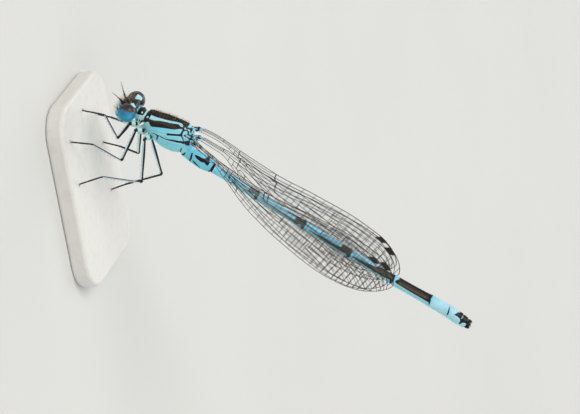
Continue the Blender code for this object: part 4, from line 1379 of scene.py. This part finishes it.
def leg_values(spokes, travel, radii, piece_of, share_of, side):
    """Black and pale stripes of a leg."""
    count, sides = spokes.shape[:2]
    up = np.array((0, 0, 1.0)) - travel * travel[:, 2:3]
    up /= np.linalg.norm(up, axis=1)[:, None]
    pale_way = np.array((0.1, side, -0.35))
    outward = pale_way - travel * (travel @ pale_way)[:, None]
    outward /= np.linalg.norm(outward, axis=1)[:, None]
    from_up = np.arccos(np.clip((spokes * up[:, None]).sum(2), -1, 1))
    from_out = np.arccos(np.clip((spokes * outward[:, None]).sum(2), -1, 1))
    dark = np.full((count, sides), 9.0)
    mint = np.zeros((count, sides))
    radius = radii[:, None]
    femur = (piece_of == 1)[:, None]
    tibia = (piece_of == 2)[:, None]
    tarsus = (piece_of == 3)[:, None]
    coxa = (piece_of == 0)[:, None]
    spot = np.hypot((share_of[:, None] - 0.4) * 0.6, (from_up - 0.3) * radius) - 0.1
    dark = np.where(coxa, np.minimum(spot, (1 - share_of[:, None]) * 0.8 - 0.04), dark)
    mint = np.where(coxa, 0.9, mint)
    dark = np.where(femur, (from_up - math.radians(82)) * radius, dark)
    dark = np.where(tibia, (math.radians(46) - from_out) * radius, dark)
    dark = np.where(tarsus, -1.0, dark)
    share = share_of[:, None]
    knee = np.where(femur, (1 - share) * 1.6 - 0.1, np.where(tibia, share * 1.6 - 0.05, 9.0))
    dark = np.minimum(dark, knee)
    hip = np.where(femur, np.abs(share - 0.045) * 1.8 - 0.045, 9.0)
    dark = np.minimum(dark, hip)
    pale = np.where(tibia, 0.9 * rise(share, 0.05, 0.3), 0.0) * np.ones((count, sides))
    return {"dark": dark, "mint": mint, "pale": pale, "back": np.zeros((count, sides))}


def make_leg(name, joints, material, spine_roots):
    """One leg from the body to its two claws, and the roots of its spines."""
    path, piece_of, share_of = leg_path(joints)
    side = LEFT if name.endswith("left") else RIGHT
    radii = np.zeros(len(path))
    for i, profile in enumerate(PIECE_RADII.values()):
        chosen = piece_of == i
        radii[chosen] = through(*zip(*profile), share_of[chosen])
    rings, spokes = tube_rings(path, radii, LEG_SIDES)
    travel, _ = travel_frames(path)
    values = leg_values(spokes, travel, radii, piece_of, share_of, side)
    shells = [close_tube(rings)]
    toe, heading = path[-1], travel[-1]
    flat_heading = np.array((heading[0], heading[1], 0.0))
    flat_heading = flat_heading / max(np.linalg.norm(flat_heading), 1e-6)
    across = np.cross(flat_heading, (0, 0, 1.0))
    for split in (-1, 1):
        t = np.linspace(0, 1, 9)[:, None]
        claw = toe + flat_heading * 0.2 * t + across * split * 0.1 * t
        claw = claw + np.array((0, 0, 1.0)) * (0.07 * np.sin(math.pi * t) - 0.045 * t)
        shells.append(close_tube(tube_rings(claw, np.linspace(0.028, 0.006, 9), 8)[0]))
    points, faces, sizes = join_shells(shells)
    full = {}
    for key, value in values.items():
        claws = -1.0 if key == "dark" else 0.0
        full[key] = np.concatenate((end_values(value, LEG_SIDES), np.full(sum(sizes[1:]), claws)))
    leg = add_piece(name, points, faces, material, full)
    gather_spines(path, travel, radii, piece_of, share_of, spine_roots)
    pieces = [f"{name}_{piece}" for piece in PIECE_RADII]
    return settle(leg, "leg", *pieces)


SPINE_STEP = 0.3


def gather_spines(path, travel, radii, piece_of, share_of, spine_roots):
    """Two rows of stiff spines under the femur and the tibia."""
    for piece, length in ((1, 0.2), (2, 0.26)):
        chosen = np.where((piece_of == piece) & (share_of > 0.12) & (share_of < 0.95))[0]
        walked = 0.0
        for k, following in zip(chosen, chosen[1:]):
            walked += np.linalg.norm(path[following] - path[k])
            if walked < SPINE_STEP:
                continue
            walked = 0.0
            down = np.array((0, 0, -1.0)) - travel[k] * -travel[k][2]
            down /= np.linalg.norm(down)
            beside = np.cross(travel[k], down)
            for lean in (-0.6, 0.6):
                spoke = down * math.cos(lean) + beside * math.sin(lean)
                lie = (spoke + travel[k] * 0.5) * length
                spine_roots.append((path[k] + spoke * radii[k] * 0.8, lie))


# Tail

def make_claspers(material):
    """Two upper and two lower hooked claspers at the tip of the tail."""
    along, up, radius = SEGMENT_ENDS[-1]
    shells, values = [], []
    t = np.linspace(0, 1, 24)
    for side in (LEFT, RIGHT):
        upper = np.stack((along - 0.05 + 0.52 * t, side * (0.16 + 0.1 * np.sin(2.4 * t)),
                          up + 0.2 + 0.06 * t - 0.14 * t**3), 1)
        lower = np.stack((along - 0.05 + 0.56 * t, side * (0.15 + 0.05 * t - 0.1 * t**2),
                          up - 0.2 - 0.02 * t + 0.13 * t**3), 1)
        for path, wide in ((upper, 0.12), (lower, 0.12)):
            radii = wide * (0.75 + 0.35 * np.sin(math.pi * t * 0.8) - 0.55 * t**4)
            rings, _ = tube_rings(path, radii, 20)
            shells.append(close_tube(rings))
            tip = np.repeat(((0.82 - t) * 0.5)[:, None], 20, 1)
            values.append(end_values(-tip, 20))
    points, faces, _ = join_shells(shells)
    dark = np.concatenate(values)
    piece = add_piece("tail_claspers", to_stance(points), faces, material, {"dark": dark, "pale": 0.9, "tan": 0.6})
    return settle(piece, "body", "appendages")


# Wing roots

def make_wing_roots(material):
    """Pale struts and plates that carry the four wings on the back of the thorax."""
    shells, darks = [], []
    for pair, spec in WINGS.items():
        along, up = spec["hinge"]
        for side in (LEFT, RIGHT):
            start_out = spec["spread"][0][1]
            for share, s_end, thick, band in WING_STRUTS:
                inner = np.array((along - 0.8, side * (start_out - 0.5), up - 0.12 - 0.3 * share))
                mid = on_wing(pair, side, 0.05, share)[0]
                mid[1] -= side * 0.05
                end = on_wing(pair, side, s_end, share)[0]
                t = np.linspace(0, 1, 40)
                path = through((0, 0.5, 1), np.array((inner, mid, end)), t)
                radii = thick * (1 + 0.4 * hump(t, 0.46, 0.1) - 0.25 * hump(t, 0.3, 0.06) - 0.72 * t**1.5)
                rings, _ = tube_rings(path, radii, 14)
                shells.append(close_tube(rings))
                turn = 2 * math.pi * np.arange(14) / 14
                patch = np.abs(t - band)[:, None] - 0.1 - 0.07 * np.sin(turn + 9 * share + 5 * along)[None]
                dark = np.minimum(patch, 0.72 - t[:, None]) * 0.8
                darks.append(end_values(dark, 14))
    for along, side, up, radii in BACK_KNOBS:
        for mirror in ((LEFT, RIGHT) if side else (RIGHT,)):
            unit, faces = globe(4)
            shells.append((unit * radii + np.array((along, side * mirror, up)), faces))
            darks.append(0.05 + 0.14 * np.sin(6 * unit[:, 0] + 9 * up) * np.cos(4 * unit[:, 2]))
    points, faces, _ = join_shells(shells)
    roots = add_piece("wing_roots", to_stance(points), faces, material,
                      {"dark": np.concatenate(darks), "pale": 0.7, "back": 0.7})
    return settle(roots, "body")


# Each strut's share of the wing's width, reach along the wing, radius and place of its black band.
WING_STRUTS = (
    (0.0, 0.6, 0.056, 0.3), (0.25, 0.35, 0.048, 0.36), (0.5, 0.5, 0.058, 0.42),
    (0.75, 0.3, 0.044, 0.3), (1.0, 0.45, 0.052, 0.36),
)
# Middle and radii of each plate between the wings.
BACK_KNOBS = (
    (-1.56, 0.0, 1.4, (0.2, 0.2, 0.12)),
    (-1.3, 0.3, 1.14, (0.14, 0.1, 0.16)),
    (-1.13, 0.0, 0.94, (0.15, 0.2, 0.16)),
    (-0.9, 0.24, 0.42, (0.12, 0.12, 0.18)),
)


# Hair

def scatter_head_hair(dice):
    """Roots, lies and places of the pale hair on the face and the crown."""
    roots, lies, places = [], [], []
    while len(roots) < 300:
        direction = np.array((dice.uniform(-1, 0.3), dice.uniform(-0.55, 0.55), dice.uniform(-0.75, 1)))
        foot = on_head(direction[None])[0]
        if foot[0] > -6.6 or foot[2] < -1.1:
            continue
        step = 0.02
        slopes = []
        for axis in np.eye(3):
            ahead = outside_head((foot + axis * step)[None])[0]
            behind = outside_head((foot - axis * step)[None])[0]
            slopes.append((ahead - behind) / (2 * step))
        normal = np.array(slopes)
        normal /= np.linalg.norm(normal)
        lean = np.array((-0.25, 0, 0.15)) + np.array([dice.uniform(-0.3, 0.3) for _ in range(3)])
        lie = normal + lean
        lie /= np.linalg.norm(lie)
        roots.append(foot - normal * 0.01)
        lies.append(lie * dice.uniform(0.28, 0.55))
        turn = math.atan2(direction[1], direction[2]) / (2 * math.pi) + 0.5
        places.append((turn, math.acos(direction[0] / np.linalg.norm(direction)) / math.pi))
    return roots, lies, places


def scatter_back_hair(dice):
    """Roots, lies and places of the short hair on the back of the thorax."""
    rings, girth, half = body_skin_rings()
    along = rings[:, 0, 0]
    roots, lies, places = [], [], []
    while len(roots) < 560:
        row = dice.randrange(len(along))
        if not -5.0 < along[row] < -1.9:
            continue
        spoke = int(round(dice.gauss(0, SKIN_SIDES / 11))) % SKIN_SIDES
        foot = rings[row, spoke]
        normal = foot - rings[row].mean(0)
        normal /= np.linalg.norm(normal)
        lie = normal + np.array((dice.uniform(-0.1, 0.5), dice.uniform(-0.25, 0.25), dice.uniform(-0.1, 0.2)))
        lie /= np.linalg.norm(lie)
        roots.append(foot - normal * 0.02)
        lies.append(lie * dice.uniform(0.16, 0.36))
        places.append(((foot[0] + 7) / 34, spoke / SKIN_SIDES))
    return roots, lies, places


def tilt_hair(roots, lies):
    """Roots and lies turned from the insect's frame into the stance."""
    roots = to_stance(roots)
    return roots, to_stance(lies) - BODY_ORIGIN


def make_hair(material, spine_material, spine_roots):
    dice = random.Random(5)
    roots, lies, places = scatter_head_hair(dice)
    settle(grow_bristles("face_hair", *tilt_hair(roots, lies), places, 0.007, material, 1), "body")
    roots, lies, places = scatter_back_hair(dice)
    settle(grow_bristles("back_hair", *tilt_hair(roots, lies), places, 0.0055, material, 2), "body")
    roots = np.array([root for root, _ in spine_roots])
    lies = np.array([lie for _, lie in spine_roots])
    places = np.column_stack((roots[:, 0] / 20 + 0.5, roots[:, 2] / 20))
    settle(grow_bristles("leg_spines", roots, lies, places, 0.011, spine_material, 4), "leg")


# Stage

def add_floor():
    """A wide pale floor under the base."""
    bm = bmesh.new()
    bmesh.ops.create_grid(bm, x_segments=1, y_segments=1, size=4)
    mesh = bpy.data.meshes.new("floor")
    bm.to_mesh(mesh)
    bm.free()
    floor = bpy.data.objects.new("floor", mesh)
    bpy.context.scene.collection.objects.link(floor)
    material, tree, shader = new_material("pale_floor")
    place = put(tree, "ShaderNodeTexCoord").outputs["Object"]
    cloud = put(tree, "ShaderNodeTexNoise", Vector=place, Scale=30.0, Detail=3.0)
    tree.links.new(blend(tree, cloud.outputs["Fac"], paint((214, 214, 210)), paint((220, 220, 217))),
                   shader.inputs["Base Color"])
    shader.inputs["Roughness"].default_value = 0.8
    mesh.materials.append(material)


def add_light(name, azimuth, elevation, distance, size, power, colour=(1, 1, 1)):
    """A soft square light far away that faces the insect."""
    data = bpy.data.lights.new(name, "AREA")
    data.shape = "SQUARE"
    data.size = size
    data.energy = power
    data.color = colour
    light = bpy.data.objects.new(name, data)
    azimuth, elevation = math.radians(azimuth), math.radians(elevation)
    away = Vector((math.sin(azimuth) * math.cos(elevation), -math.cos(azimuth) * math.cos(elevation),
                   math.sin(elevation)))
    light.location = away * distance
    light.rotation_euler = away.to_track_quat("Z", "Y").to_euler()
    bpy.context.scene.collection.objects.link(light)


def set_light():
    add_light("key", -70, 52, 2.4, 1.5, 32, (1.0, 0.98, 0.95))
    add_light("fill", 40, 35, 2.4, 2.2, 13, (0.97, 0.98, 1.0))
    add_light("rim", 170, 40, 2.4, 1.5, 13)
    world = bpy.data.worlds.new("soft_studio")
    world.use_nodes = True
    background = world.node_tree.nodes["Background"]
    background.inputs["Color"].default_value = (0.99, 0.995, 1.0, 1)
    background.inputs["Strength"].default_value = 0.48
    bpy.context.scene.world = world
    bpy.context.scene.view_settings.view_transform = "Standard"


def set_camera():
    """The camera at the photo's angle. It is rolled, since the perch there stands upright."""
    sine, cosine = math.sin(CAMERA_AZIMUTH), math.cos(CAMERA_AZIMUTH)
    back = Vector((sine * math.cos(CAMERA_ELEVATION), -cosine * math.cos(CAMERA_ELEVATION),
                   math.sin(CAMERA_ELEVATION)))
    level = Vector((cosine, sine, 0))
    above = back.cross(level)
    right = level * math.cos(CAMERA_ROLL) + above * math.sin(CAMERA_ROLL)
    up = back.cross(right)
    data = bpy.data.cameras.new("photo_camera")
    data.sensor_width = SENSOR_WIDTH
    data.lens = SENSOR_WIDTH * CAMERA_DISTANCE * PIXELS_PER_MM / PHOTO_WIDTH
    data.clip_start = 0.01
    data.clip_end = 10
    camera = bpy.data.objects.new("photo_camera", data)
    place = (Vector(CAMERA_AIM) + back * CAMERA_DISTANCE) * MM
    turn = Matrix((right, up, back)).transposed().to_4x4()
    camera.matrix_world = Matrix.Translation(place) @ turn
    bpy.context.scene.collection.objects.link(camera)
    bpy.context.scene.camera = camera


def main():
    set_camera()
    set_light()
    add_floor()
    cuticle = make_cuticle("body_cuticle", SKY_BLUE, CYAN)
    head_cuticle = make_cuticle("head_cuticle", SKY_BLUE, CYAN, coat=0.12)
    leg_cuticle = make_cuticle("leg_cuticle", PALE_BLUE, (204, 240, 246), LAVENDER, ragged=0.02)
    eye_facets = make_eye_material()
    black_horn = make_plain_dark("black_horn", BLACK, BRONZE)
    vein_horn = make_plain_dark("vein_horn", VEIN, (44, 36, 30), 0.4)
    spot_horn = make_plain_dark("wing_spot_horn", (46, 39, 41), (84, 72, 70), 0.4)
    ocellus_glass = make_plain_dark("ocellus_glass", (150, 118, 96), (196, 164, 138), 0.2)
    pale_hair = make_plain_dark("pale_hair", (176, 158, 116), (208, 194, 150), 0.5)
    membrane = make_membrane_material()

    make_body_skin(cuticle)
    make_wing_roots(cuticle)
    make_claspers(cuticle)
    make_head(head_cuticle)
    make_ocelli(ocellus_glass)
    spine_roots = []
    for name, joints in LEGS.items():
        make_leg(name, joints, leg_cuticle, spine_roots)
    make_hair(pale_hair, black_horn, spine_roots)
    for side, word in ((LEFT, "left"), (RIGHT, "right")):
        make_eye(side, word, eye_facets)
        make_antenna(side, word, black_horn)
        for pair in WINGS:
            make_membrane(pair, side, word, membrane)
            make_veins(pair, side, word, vein_horn)
            make_stigma(pair, side, word, spot_horn)
    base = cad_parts["stand_base"]
    for slot in base.material_slots:
        slot.material = make_base_material()


main()
